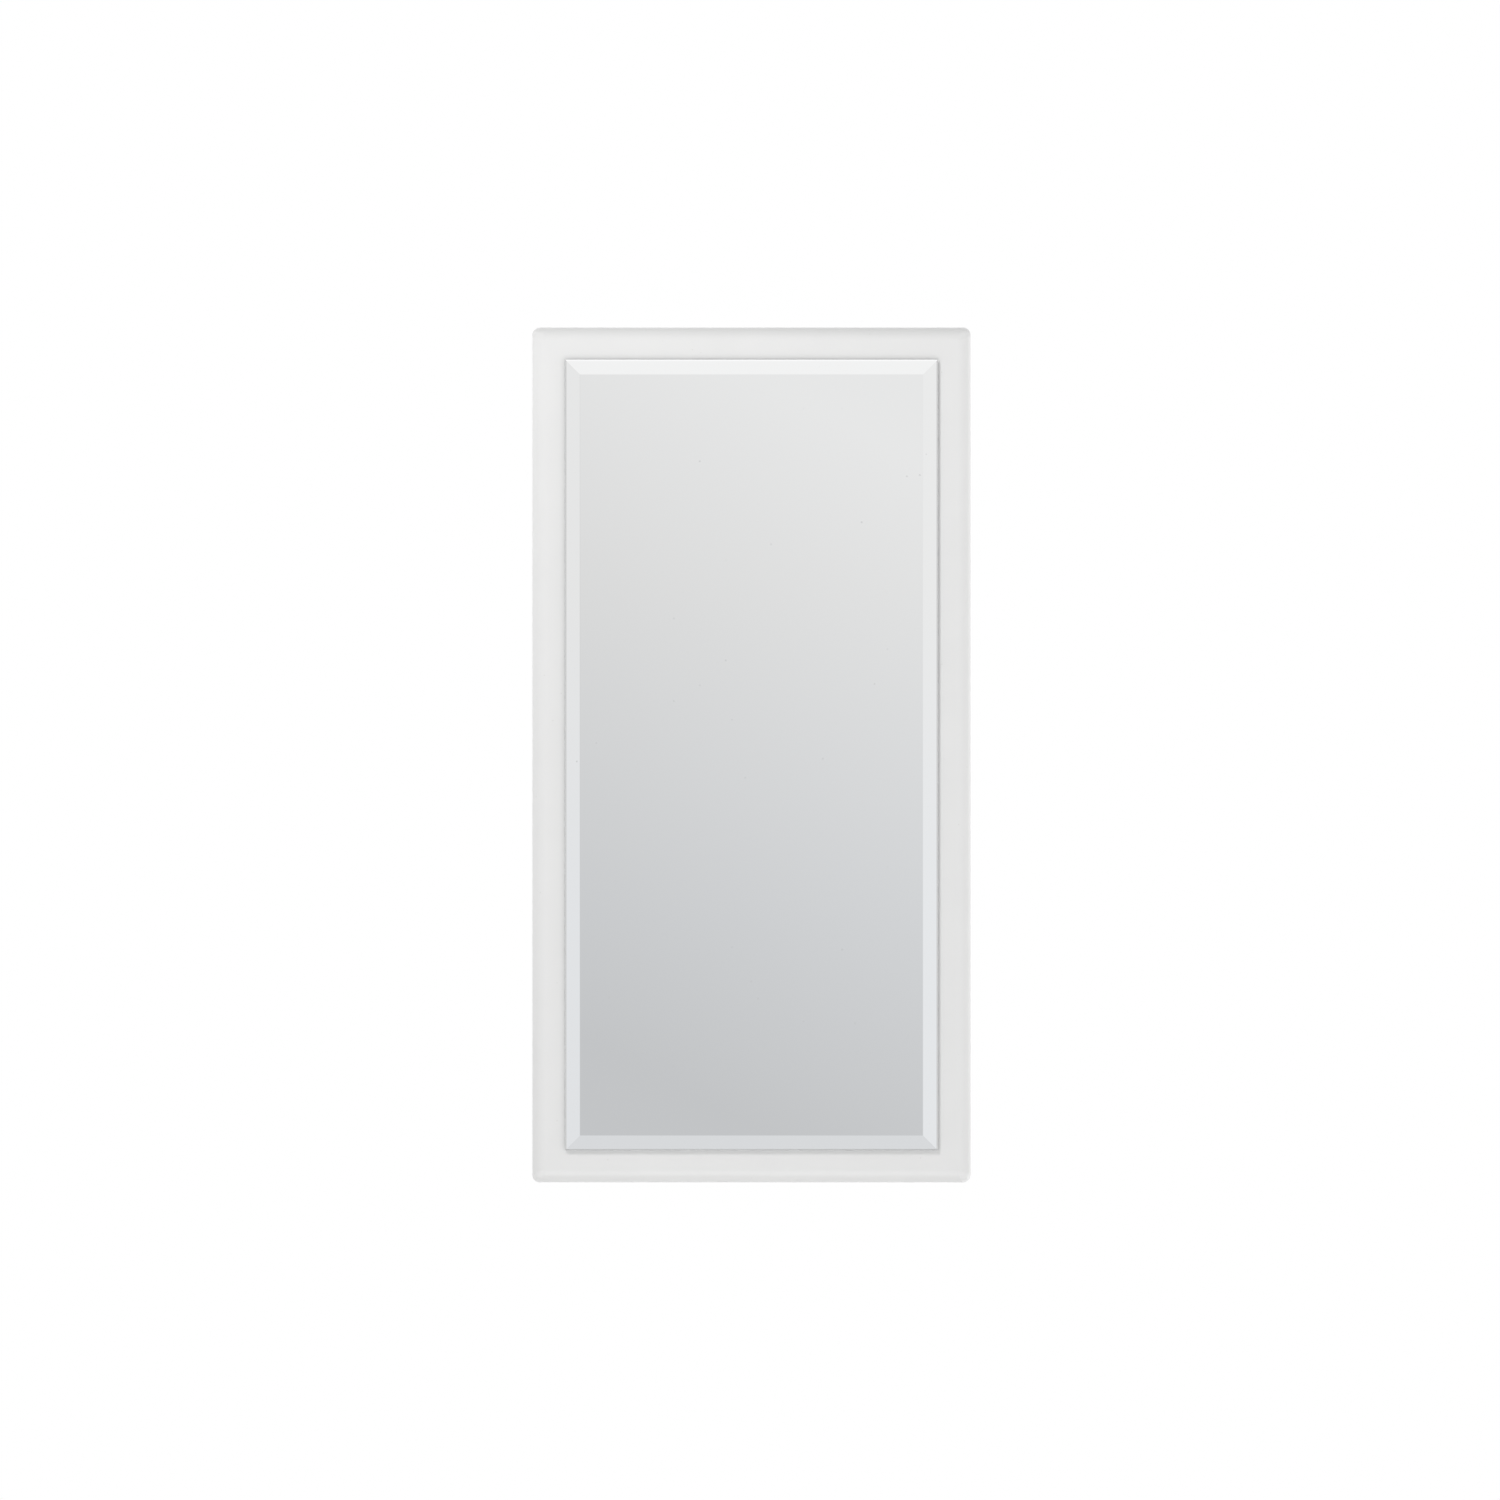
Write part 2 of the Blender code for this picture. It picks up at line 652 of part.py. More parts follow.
# ---------------------------------------------------------------- door
def build_door_panel():
    """Door slab with soft edges, drilled for the hinges and the strike."""
    half = DOOR_WIDTH / 2.0
    slab = box("door_panel", (-half, DOOR_FRONT, DOOR_BOTTOM), (half, DOOR_BACK, DOOR_TOP))
    widths = slab.data.attributes.new("bevel_weight_edge", "FLOAT", "EDGE")
    for edge, width in zip(slab.data.edges, widths.data):
        first, second = (slab.data.vertices[i].co for i in edge.vertices)
        if first.y * second.y < 0.0:
            width.value = CORNER_ROUND / FRONT_ROUND
        elif first.y < 0.0:
            width.value = 1.0
        else:
            width.value = BACK_ROUND / FRONT_ROUND
    part(slab, WHITE_LACQUER, on_door=True)
    edges = slab.modifiers.new("Edges", "BEVEL")
    edges.limit_method = "WEIGHT"
    edges.width = FRONT_ROUND
    edges.segments = 6
    holes = []
    for level in HINGE_HEIGHTS.values():
        low = hinge_y(CUP_FLOOR_T + 0.0013)
        holes.append(rod("hole", 1, (hinge_x(CUP_S), level), CUP_RADIUS + FIT, low, hinge_y(0.0), 40))
        for rise in (-CUP_SCREW_RISE, CUP_SCREW_RISE):
            across = (hinge_x(CUP_SCREW_S), level + rise)
            holes.append(rod("hole", 1, across, 0.0019, hinge_y(0.0130), hinge_y(0.0), 12))
    across = (STRIKE_SCREW_X, LATCH_Z)
    holes.append(rod("hole", 1, across, 0.0017, hinge_y(0.0125), hinge_y(0.0), 12))
    cut(slab, *holes)


def build_mirror():
    """Bevelled mirror on a sheet of foam mounting tape."""
    half = DOOR_WIDTH / 2.0 - MIRROR_MARGIN
    low = DOOR_BOTTOM + MIRROR_MARGIN
    high = DOOR_TOP - MIRROR_MARGIN
    tape_back = DOOR_FRONT - FIT
    back = tape_back - TAPE_THICK - FIT
    edge = back - MIRROR_THICK + MIRROR_BEVEL_DEEP
    glass = box("mirror", (-half, edge, low), (half, back, high))
    shape = bmesh.new()
    shape.from_mesh(glass.data)
    shape.normal_update()
    front = [face for face in shape.faces if face.normal.y < -0.5]
    bmesh.ops.inset_region(
        shape, faces=front, thickness=MIRROR_BEVEL, depth=MIRROR_BEVEL_DEEP, use_even_offset=True
    )
    shape.to_mesh(glass.data)
    shape.free()
    part(glass, SILVERED, on_door=True, smooth=False)
    corner = (-half + TAPE_MARGIN, tape_back - TAPE_THICK, low + TAPE_MARGIN)
    sheet = box("mirror_tape", corner, (half - TAPE_MARGIN, tape_back, high - TAPE_MARGIN))
    part(sheet, FOAM, on_door=True)


def build_door_fittings():
    """Strike plate for the latch and the soft bumpers."""
    seat = hinge_y(DOOR_GAP - FIT)
    points = circle(LATCH_X, LATCH_Z, 0.0062) + circle(STRIKE_SCREW_X, LATCH_Z, 0.0050)
    strike = plate("strike_plate", around(points), 1, seat, seat + 0.0008)
    part(strike, NICKEL, on_door=True)
    across = (STRIKE_SCREW_X, LATCH_Z)
    cut(strike, rod("hole", 1, across, 0.0018, seat - 0.001, seat + 0.002, 16))
    profile = screw_profile(hinge_y(0.0120), seat + 0.0011, seat + 0.0022, 0.0014, 0.0030)
    part(turned("strike_screw", 1, across, profile, 10), NICKEL, on_door=True)
    for place, level in (("upper", CARCASS_TOP - 0.030), ("lower", CARCASS_BOTTOM + 0.030)):
        profile = [(0.0042, seat), (0.0042, seat + 0.0014), (0.0034, seat + 0.0022)]
        pad = turned(place + "_bumper", 1, (OUT_X - PANEL / 2.0, level), profile, 20)
        part(pad, RUBBER, on_door=True)


def build_door():
    """Door pieces, hung from an empty on the pin line."""
    axis = bpy.data.objects.new("door_axis", None)
    axis.location = PIVOT
    bpy.data.collections[OBJECT_NAME].objects.link(axis)
    build_door_panel()
    build_mirror()
    build_door_fittings()


def main():
    """Build every sub-part."""
    clear_scene()
    new_collection(OBJECT_NAME, bpy.context.scene.collection)
    new_collection(CUTTERS_NAME, bpy.context.scene.collection)
    build_carcass()
    build_shelves()
    for side in SIDES:
        build_hanger(side)
    build_rail()
    build_door()
    for name, level in HINGE_HEIGHTS.items():
        build_hinge_plate(name, level)
        build_hinge_arm(name, level)
        build_hinge_cup(name, level)
        build_hinge_fasteners(name, level)
    build_latch()
    build_latch_spring()


main()
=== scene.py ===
"""Looks of the hanging wall cabinet.

A white lacquered door with a bevelled mirror hangs on two cup hinges in front
of a board carcass with glass shelves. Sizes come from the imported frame, in
metres, with +Z up, +Y into the wall and the door facing -Y.
"""

import logging
import math
from dataclasses import dataclass, field
from enum import Enum
from typing import Callable, Iterable, Sequence

import bmesh
import bpy
from mathutils import Matrix, Vector


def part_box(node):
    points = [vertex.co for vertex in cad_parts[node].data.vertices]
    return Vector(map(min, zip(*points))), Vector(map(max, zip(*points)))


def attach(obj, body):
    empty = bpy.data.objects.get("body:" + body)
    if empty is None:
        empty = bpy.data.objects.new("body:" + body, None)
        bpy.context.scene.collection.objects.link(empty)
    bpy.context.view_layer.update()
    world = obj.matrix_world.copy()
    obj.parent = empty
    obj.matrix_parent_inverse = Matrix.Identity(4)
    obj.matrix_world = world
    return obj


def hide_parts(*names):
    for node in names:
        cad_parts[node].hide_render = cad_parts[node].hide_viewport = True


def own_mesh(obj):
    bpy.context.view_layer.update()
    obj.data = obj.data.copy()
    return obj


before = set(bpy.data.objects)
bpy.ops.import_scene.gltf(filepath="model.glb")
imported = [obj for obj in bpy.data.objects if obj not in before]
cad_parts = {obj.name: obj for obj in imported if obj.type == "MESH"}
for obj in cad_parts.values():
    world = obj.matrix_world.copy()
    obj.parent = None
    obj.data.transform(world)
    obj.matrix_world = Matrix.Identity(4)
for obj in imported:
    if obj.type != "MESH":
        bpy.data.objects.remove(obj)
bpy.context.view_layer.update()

logging.basicConfig(level=logging.INFO, format="%(message)s")
LOG = logging.getLogger("wall_cabinet")

CARCASS = "carcass"
DOOR = "door"
PLUNGER = "latch_plunger"
HAIR = 0.0003
SMOOTH_ANGLE = math.radians(34.0)

Colour = tuple[float, float, float]
Point = tuple[float, float, float]
Pair = tuple[float, float]


class Axis(Enum):
    """World axis that a turned or extruded shape lies along."""

    X = 0
    Y = 1
    Z = 2


class Drive(Enum):
    """Recess in a screw head."""

    CROSS = "cross"
    SLOT = "slot"


class Level(Enum):
    """Height of a hinge or a bumper."""

    UPPER = "upper"
    LOWER = "lower"


class Side(Enum):
    """Side of the cabinet as seen from the front; the value is the sign of X."""

    LEFT = -1
    RIGHT = 1

    @property
    def word(self) -> str:
        """Name used in piece and node names."""
        return self.name.lower()


# ------------------------------------------------------------------ mesh making
AXIS_TURN = {
    Axis.X: (math.pi / 2.0, 0.0, math.pi / 2.0),
    Axis.Y: (math.pi / 2.0, 0.0, 0.0),
    Axis.Z: (0.0, 0.0, 0.0),
}
AXIS_SIGN = {Axis.X: 1.0, Axis.Y: -1.0, Axis.Z: 1.0}


def along(axis: Axis, across: Pair, level: float) -> list[float]:
    """Build a world point.

    Args:
        axis: The axis that ``level`` lies on.
        across: The other two coordinates, in X, Y, Z order.
        level: The coordinate on the axis.

    Returns:
        The point as three numbers.
    """
    point = list(across)
    point.insert(axis.value, level)
    return point


def linked(name: str, data: bpy.types.ID) -> bpy.types.Object:
    """Make an object and link it to the scene.

    Args:
        name: Name of the object.
        data: Its mesh or curve.

    Returns:
        The new object.
    """
    thing = bpy.data.objects.new(name, data)
    bpy.context.scene.collection.objects.link(thing)
    return thing


def from_shape(name: str, shape: bmesh.types.BMesh) -> bpy.types.Object:
    """Make a mesh object from a bmesh and free it.

    Args:
        name: Name of the object.
        shape: The finished bmesh.

    Returns:
        The new object.
    """
    mesh = bpy.data.meshes.new(name)
    shape.to_mesh(mesh)
    shape.free()
    return linked(name, mesh)


def box(name: str, low: Sequence[float], high: Sequence[float]) -> bpy.types.Object:
    """Make a box between two corners, with its place in its mesh.

    Args:
        name: Name of the object.
        low: Lowest corner.
        high: Highest corner.

    Returns:
        The box object.
    """
    shape = bmesh.new()
    bmesh.ops.create_cube(shape, size=1.0)
    for vert in shape.verts:
        vert.co = [low[i] + (vert.co[i] + 0.5) * (high[i] - low[i]) for i in range(3)]
    return from_shape(name, shape)


def rod(
    name: str, axis: Axis, across: Pair, radius: float, low: float, high: float, sides: int = 32
) -> bpy.types.Object:
    """Make a cylinder along one axis.

    Args:
        name: Name of the object.
        axis: Axis of the cylinder.
        across: Its place on the other two axes.
        radius: Its radius.
        low: Its lower end.
        high: Its upper end.
        sides: How many sides it has.

    Returns:
        The cylinder object.
    """
    shape = bmesh.new()
    bmesh.ops.create_cone(shape, cap_ends=True, segments=sides, radius1=radius, radius2=radius, depth=high - low)
    thing = from_shape(name, shape)
    thing.location = along(axis, across, 0.5 * (low + high))
    thing.rotation_euler = AXIS_TURN[axis]
    return thing


def turned(name: str, axis: Axis, across: Pair, profile: Sequence[Pair], steps: int = 40) -> bpy.types.Object:
    """Turn a profile round an axis.

    Args:
        name: Name of the object.
        axis: Axis of turning.
        across: Its place on the other two axes.
        profile: (radius, level) pairs from one end to the other.
        steps: Steps round the axis.

    Returns:
        The turned object, with its Screw modifier live.
    """
    middle = 0.5 * (profile[0][1] + profile[-1][1])
    line = [(0.0, profile[0][1]), *profile, (0.0, profile[-1][1])]
    points = [(radius, 0.0, AXIS_SIGN[axis] * (level - middle)) for radius, level in line]
    if points[0][2] < points[-1][2]:
        points.reverse()
    mesh = bpy.data.meshes.new(name)
    mesh.from_pydata(points, [(i, i + 1) for i in range(len(points) - 1)], [])
    thing = linked(name, mesh)
    thing.location = along(axis, across, middle)
    thing.rotation_euler = AXIS_TURN[axis]
    sweep = thing.modifiers.new("Turn", "SCREW")
    sweep.steps = steps
    sweep.render_steps = steps
    sweep.use_merge_vertices = True
    sweep.merge_threshold = 0.00001
    return thing


def plate(name: str, outline: Sequence[Pair], axis: Axis, low: float, high: float) -> bpy.types.Object:
    """Give a flat outline a thickness along one axis.

    Args:
        name: Name of the object.
        outline: Points of the closed outline on the other two axes.
        axis: Axis of the thickness.
        low: Lower face.
        high: Upper face.

    Returns:
        The plate as a welded mesh object.
    """
    curve = bpy.data.curves.new(name, "CURVE")
    curve.dimensions = "2D"
    curve.fill_mode = "BOTH"
    curve.extrude = 0.5 * (high - low)
    spline = curve.splines.new("POLY")
    spline.points.add(len(outline) - 1)
    spline.use_cyclic_u = True
    for point, (first, second) in zip(spline.points, outline):
        point.co = (first, second, 0.0, 1.0)
    helper = linked(name + "_outline", curve)
    mesh = evaluated_mesh(helper)
    bpy.data.objects.remove(helper, do_unlink=True)
    shape = bmesh.new()
    shape.from_mesh(mesh)
    bmesh.ops.remove_doubles(shape, verts=shape.verts, dist=0.000005)
    bmesh.ops.dissolve_limit(shape, angle_limit=0.01, verts=shape.verts, edges=shape.edges)
    bmesh.ops.recalc_face_normals(shape, faces=shape.faces)
    thing = from_shape(name, shape)
    thing.location = along(axis, (0.0, 0.0), 0.5 * (low + high))
    thing.rotation_euler = AXIS_TURN[axis]
    return thing


def evaluated_mesh(thing: bpy.types.Object) -> bpy.types.Mesh:
    """Read an object as its modifiers leave it.

    Args:
        thing: The object to read.

    Returns:
        A plain mesh in the object's own space.
    """
    bpy.context.view_layer.update()
    graph = bpy.context.evaluated_depsgraph_get()
    return bpy.data.meshes.new_from_object(thing.evaluated_get(graph))


def circle(first: float, second: float, radius: float, sides: int = 48, turn: float = 0.5) -> list[Pair]:
    """Points round a circle.

    Args:
        first: Centre on the first axis.
        second: Centre on the second axis.
        radius: Radius.
        sides: How many points.
        turn: Start angle in steps.

    Returns:
        The points in order.
    """
    step = 2.0 * math.pi / sides
    angles = [step * (i + turn) for i in range(sides)]
    return [(first + radius * math.cos(a), second + radius * math.sin(a)) for a in angles]


def around(points: Iterable[Pair]) -> list[Pair]:
    """Convex outline round a set of points.

    Args:
        points: The points to enclose.

    Returns:
        The corners of the outline in order.
    """
    ordered = sorted(set(points))

    def chain(sequence: Iterable[Pair]) -> list[Pair]:
        """Walk one side of the outline."""
        kept: list[Pair] = []
        for point in sequence:
            while len(kept) > 1:
                (ax, ay), (bx, by) = kept[-2:]
                if (bx - ax) * (point[1] - ay) - (by - ay) * (point[0] - ax) > 1e-12:
                    break
                kept.pop()
            kept.append(point)
        return kept[:-1]

    return chain(ordered) + chain(reversed(ordered))


def eased(line: Sequence[Pair], radius: float, steps: int = 6) -> list[Pair]:
    """Round the corners of an open line.

    Args:
        line: Its corner points.
        radius: How far from each corner the rounding starts, at most.
        steps: Points in each rounding.

    Returns:
        The line with rounded corners.
    """
    points = [Vector(point) for point in line]
    result = [tuple(points[0])]
    for before, corner, after in zip(points, points[1:], points[2:]):
        back = min(radius, 0.48 * (before - corner).length)
        ahead = min(radius, 0.48 * (after - corner).length)
        start = corner + (before - corner).normalized() * back
        end = corner + (after - corner).normalized() * ahead
        for i in range(steps + 1):
            t = i / steps
            result.append(tuple(start * (1 - t) ** 2 + corner * 2 * t * (1 - t) + end * t * t))
    result.append(tuple(points[-1]))
    return result


def strip_outline(line: Sequence[Pair], half: float) -> list[Pair]:
    """Outline of a bent strip of constant thickness.

    Args:
        line: Points along the middle of the strip.
        half: Half its thickness.

    Returns:
        The closed outline.
    """
    points = [Vector(point) for point in line]
    left: list[Pair] = []
    right: list[Pair] = []
    for i, point in enumerate(points):
        ahead = (points[min(i + 1, len(points) - 1)] - point).normalized()
        behind = (point - points[max(i - 1, 0)]).normalized()
        if i == 0:
            behind = ahead
        if i == len(points) - 1:
            ahead = behind
        normal = Vector((-ahead.y - behind.y, ahead.x + behind.x)).normalized()
        reach = half / normal.dot(Vector((-ahead.y, ahead.x)))
        left.append(tuple(point + normal * reach))
        right.append(tuple(point - normal * reach))
    return left + right[::-1]


def bevelled(thing: bpy.types.Object, width: float, segments: int = 3, angle: float = 40.0) -> bpy.types.Object:
    """Round the sharp edges of an object.

    Args:
        thing: The object.
        width: Width of the rounding.
        segments: Steps across it.
        angle: Edges sharper than this many degrees are rounded.

    Returns:
        The same object.
    """
    edges = thing.modifiers.new("Edges", "BEVEL")
    edges.width = width
    edges.segments = segments
    edges.limit_method = "ANGLE"
    edges.angle_limit = math.radians(angle)
    edges.harden_normals = False
    return thing


def boolean(thing: bpy.types.Object, tools: Sequence[bpy.types.Object], operation: str) -> bpy.types.Object:
    """Cut or join solids and keep the result as the object's mesh.

    Args:
        thing: The solid to change.
        tools: The solids to use up.
        operation: DIFFERENCE or UNION.

    Returns:
        The same object, with its modifiers applied.
    """
    group = bpy.data.collections.new("tools")
    for tool in tools:
        group.objects.link(tool)
    change = thing.modifiers.new("Change", "BOOLEAN")
    change.operation = operation
    change.solver = "EXACT"
    change.material_mode = "TRANSFER"
    change.operand_type = "COLLECTION"
    change.collection = group
    mesh = evaluated_mesh(thing)
    thing.modifiers.clear()
    thing.data = mesh
    for tool in tools:
        bpy.data.objects.remove(tool, do_unlink=True)
    bpy.data.collections.remove(group)
    return thing


def cut(thing: bpy.types.Object, *tools: bpy.types.Object) -> bpy.types.Object:
    """Cut solids from an object."""
    return boolean(thing, tools, "DIFFERENCE")


def join(thing: bpy.types.Object, *tools: bpy.types.Object) -> bpy.types.Object:
    """Join solids to an object."""
    for tool in tools:
        boolean(thing, [tool], "UNION")
    return thing


def paint(thing: bpy.types.Object, material: bpy.types.Material) -> bpy.types.Object:
    """Give an object one material in its first slot."""
    thing.data.materials.clear()
    thing.data.materials.append(material)
    return thing


def paint_faces(
    thing: bpy.types.Object, material: bpy.types.Material, wanted: Callable[[bpy.types.MeshPolygon], bool]
) -> bpy.types.Object:
    """Give some faces of a finished piece another material.

    Args:
        thing: The piece.
        material: The extra material.
        wanted: Says whether a face gets it.

    Returns:
        The same piece.
    """
    thing.data.materials.append(material)
    index = len(thing.data.materials) - 1
    for face in thing.data.polygons:
        if wanted(face):
            face.material_index = index
    return thing


@dataclass(frozen=True)
class Piece:
    """A finished piece: its name, its body, its slot and the nodes that it stands for."""

    name: str
    body: str
    slot: str
    nodes: tuple[str, ...] = ()

    def finish(self, thing: bpy.types.Object, smooth: bool = True) -> bpy.types.Object:
        """Turn a working object into the finished piece.

        Args:
            thing: The working object, which is used up.
            smooth: Whether its round faces are shaded smooth.

        Returns:
            The piece, at the origin, riding on its body.
        """
        mesh = evaluated_mesh(thing)
        mesh.transform(thing.matrix_world)
        bpy.data.objects.remove(thing, do_unlink=True)
        mesh.validate()
        piece = linked(self.name, mesh)
        if smooth:
            mesh.shade_smooth()
            mesh.set_sharp_from_angle(angle=SMOOTH_ANGLE)
            even = piece.modifiers.new("Even", "WEIGHTED_NORMAL")
            even.keep_sharp = True
            piece.data = evaluated_mesh(piece)
            piece.modifiers.clear()
        piece.data.name = self.name
        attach(piece, self.body)
        if self.nodes:
            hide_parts(*self.nodes)
        LOG.info("%s on %s: %d faces", self.name, self.body, len(piece.data.polygons))
        return piece


# ------------------------------------------------------------------ shader groups
class Wiring:
    """Short calls for building a node tree."""

    def __init__(self, tree: bpy.types.NodeTree) -> None:
        """Work on one tree.

        Args:
            tree: The tree to build.
        """
        self.tree = tree

    def node(self, kind: str, inputs: dict | None = None, **settings: object) -> bpy.types.Node:
        """Add a node.

        Args:
            kind: Type name of the node.
            inputs: Socket name or number to a value or to the output that feeds it.
            settings: Attributes set on the node.

        Returns:
            The new node.
        """
        made = self.tree.nodes.new(kind)
        for key, value in settings.items():
            setattr(made, key, value)
        for key, value in (inputs or {}).items():
            self.feed(made.inputs[key], value)
        return made

    def feed(self, socket: bpy.types.NodeSocket, value: object) -> None:
        """Link an output to a socket, or set the socket's value."""
        if isinstance(value, bpy.types.NodeSocket):
            self.tree.links.new(value, socket)
        else:
            socket.default_value = value

    def math(self, operation: str, *values: object) -> bpy.types.NodeSocket:
        """Add a Math node.

        Args:
            operation: Its operation.
            values: Numbers or outputs for its inputs.

        Returns:
            Its output.
        """
        return self.node("ShaderNodeMath", dict(enumerate(values)), operation=operation).outputs[0]

    def span(self, value: object, low: float, high: float, new_low: float, new_high: float) -> bpy.types.NodeSocket:
        """Map one range of numbers to another, clamped.

        Args:
            value: The number to map.
            low: Start of its range.
            high: End of its range.
            new_low: Result at the start.
            new_high: Result at the end.

        Returns:
            The mapped output.
        """
        made = self.node("ShaderNodeMapRange", {0: value, 1: low, 2: high, 3: new_low, 4: new_high})
        return made.outputs[0]

    def mix(self, factor: object, first: object, second: object) -> bpy.types.NodeSocket:
        """Mix two colours.

        Args:
            factor: Share of the second colour.
            first: First colour or output.
            second: Second colour or output.

        Returns:
            The mixed colour output.
        """
        made = self.node("ShaderNodeMix", data_type="RGBA")
        for socket, value in zip((made.inputs[0], made.inputs[6], made.inputs[7]), (factor, first, second)):
            if isinstance(value, tuple) and len(value) == 3:
                value = (*value, 1.0)
            self.feed(socket, value)
        return made.outputs[2]

    def noise(self, place: object, scale: object, detail: float, roughness: float = 0.5) -> bpy.types.NodeSocket:
        """Add a Noise Texture.

        Args:
            place: Its coordinates.
            scale: Its scale.
            detail: Its detail.
            roughness: Its roughness.

        Returns:
            Its value output.
        """
        inputs = {"Vector": place, "Scale": scale, "Detail": detail, "Roughness": roughness}
        return self.node("ShaderNodeTexNoise", inputs).outputs[0]


def shader_group(
    name: str, inputs: dict[str, float], outputs: Sequence[str]
) -> tuple[Wiring, bpy.types.Node, bpy.types.Node]:
    """Start a shader node group with a Place and named numbers.

    Args:
        name: Name of the group.
        inputs: Input names with their defaults.
        outputs: Output names.

    Returns:
        The wiring, the group's input node and its output node.
    """
    tree = bpy.data.node_groups.new(name, "ShaderNodeTree")
    tree.interface.new_socket("Place", in_out="INPUT", socket_type="NodeSocketVector")
    for key, value in inputs.items():
        socket = tree.interface.new_socket(key, in_out="INPUT", socket_type="NodeSocketFloat")
        socket.default_value = value
    for key in outputs:
        tree.interface.new_socket(key, in_out="OUTPUT", socket_type="NodeSocketFloat")
    wiring = Wiring(tree)
    return wiring, wiring.node("NodeGroupInput"), wiring.node("NodeGroupOutput")


def build_fine_grain() -> bpy.types.NodeTree:
    """Fine surface relief: a soft long wave under a short one, as sprayed or moulded surfaces have.

    Returns:
        The group, with outputs Height and Cloud.
    """
    wiring, start, end = shader_group(
        "fine_grain", {"Short Scale": 900.0, "Long Scale": 60.0, "Long Share": 0.5}, ("Height", "Cloud")
    )
    place = start.outputs["Place"]
    short = wiring.noise(place, start.outputs["Short Scale"], 3.0)
    long = wiring.noise(place, start.outputs["Long Scale"], 2.0, 0.45)
    share = start.outputs["Long Share"]
    lower = wiring.math("MULTIPLY", long, share)
    upper = wiring.math("MULTIPLY", short, wiring.math("SUBTRACT", 1.0, share))
    wiring.feed(end.inputs["Height"], wiring.math("ADD", lower, upper))
    wiring.feed(end.inputs["Cloud"], long)
    return wiring.tree


def build_handling() -> bpy.types.NodeTree:
    """Traces of use: faint wiped smears, drifting patches and small specks.

    Returns:
        The group, with outputs Smear and Speck from 0 to 1.
    """
    wiring, start, end = shader_group(
        "handling", {"Patch Scale": 9.0, "Smear Stretch": 5.0, "Speck Scale": 420.0, "Speck Share": 0.06},
        ("Smear", "Speck"),
    )
    place = start.outputs["Place"]
    stretch = wiring.node("ShaderNodeCombineXYZ", {0: 1.0, 1: 1.0, 2: start.outputs["Smear Stretch"]})
    pulled = wiring.node("ShaderNodeVectorMath", {0: place, 1: stretch.outputs[0]}, operation="MULTIPLY")
    smear = wiring.node(
        "ShaderNodeTexNoise",
        {
            "Vector": pulled.outputs[0],
            "Scale": start.outputs["Patch Scale"],
            "Detail": 5.0,
            "Roughness": 0.62,
            "Distortion": 0.6,
        },
    )
    patch = wiring.noise(place, start.outputs["Patch Scale"], 1.0)
    both = wiring.math(
        "MULTIPLY", wiring.span(smear.outputs[0], 0.45, 0.75, 0.0, 1.0), wiring.span(patch, 0.4, 0.65, 0.0, 1.0)
    )
    wiring.feed(end.inputs["Smear"], both)
    dots = wiring.node(
        "ShaderNodeTexVoronoi", {"Vector": place, "Scale": start.outputs["Speck Scale"], "Randomness": 1.0}
    )
    share = start.outputs["Speck Share"]
    lone = wiring.math(
        "LESS_THAN", wiring.node("ShaderNodeSeparateColor", {0: dots.outputs["Color"]}).outputs[0], share
    )
    near = wiring.span(dots.outputs["Distance"], 0.10, 0.22, 1.0, 0.0)
    wiring.feed(end.inputs["Speck"], wiring.math("MULTIPLY", lone, near))
    return wiring.tree


def build_edge_wear() -> bpy.types.NodeTree:
    """Rubbed corners: a broken band where the surface turns sharply.

    Returns:
        The group, with output Wear from 0 to 1.
    """
    wiring, start, end = shader_group("edge_wear", {"Break Scale": 350.0, "Band": 0.06}, ("Wear",))
    pointed = wiring.node("ShaderNodeNewGeometry").outputs["Pointiness"]
    broken = wiring.noise(start.outputs["Place"], start.outputs["Break Scale"], 4.0)
    shifted = wiring.math("ADD", pointed, wiring.math("MULTIPLY", wiring.math("SUBTRACT", broken, 0.5), 0.05))
    limit = wiring.math("ADD", 0.5, start.outputs["Band"])
    wiring.feed(end.inputs["Wear"], wiring.math("GREATER_THAN", shifted, limit))
    return wiring.tree


def build_drawn_grain() -> bpy.types.NodeTree:
    """Fine streaks along one direction, as rolled and drawn steel has.

    Returns:
        The group, with output Streak from 0 to 1.
    """
    wiring, start, end = shader_group("drawn_grain", {"Across": 1600.0, "Along": 60.0}, ("Streak",))
    pull = wiring.node(
        "ShaderNodeCombineXYZ", {0: start.outputs["Across"], 1: start.outputs["Along"], 2: start.outputs["Across"]}
    )
    pulled = wiring.node("ShaderNodeVectorMath", {0: start.outputs["Place"], 1: pull.outputs[0]}, operation="MULTIPLY")
    wiring.feed(end.inputs["Streak"], wiring.noise(pulled.outputs[0], 1.0, 3.0, 0.6))
    return wiring.tree


@dataclass(frozen=True)
class Effects:
    """Shader groups that several finishes share."""

    fine_grain: bpy.types.NodeTree = field(default_factory=build_fine_grain)
    handling: bpy.types.NodeTree = field(default_factory=build_handling)
    edge_wear: bpy.types.NodeTree = field(default_factory=build_edge_wear)
    drawn_grain: bpy.types.NodeTree = field(default_factory=build_drawn_grain)


EFFECTS = Effects()


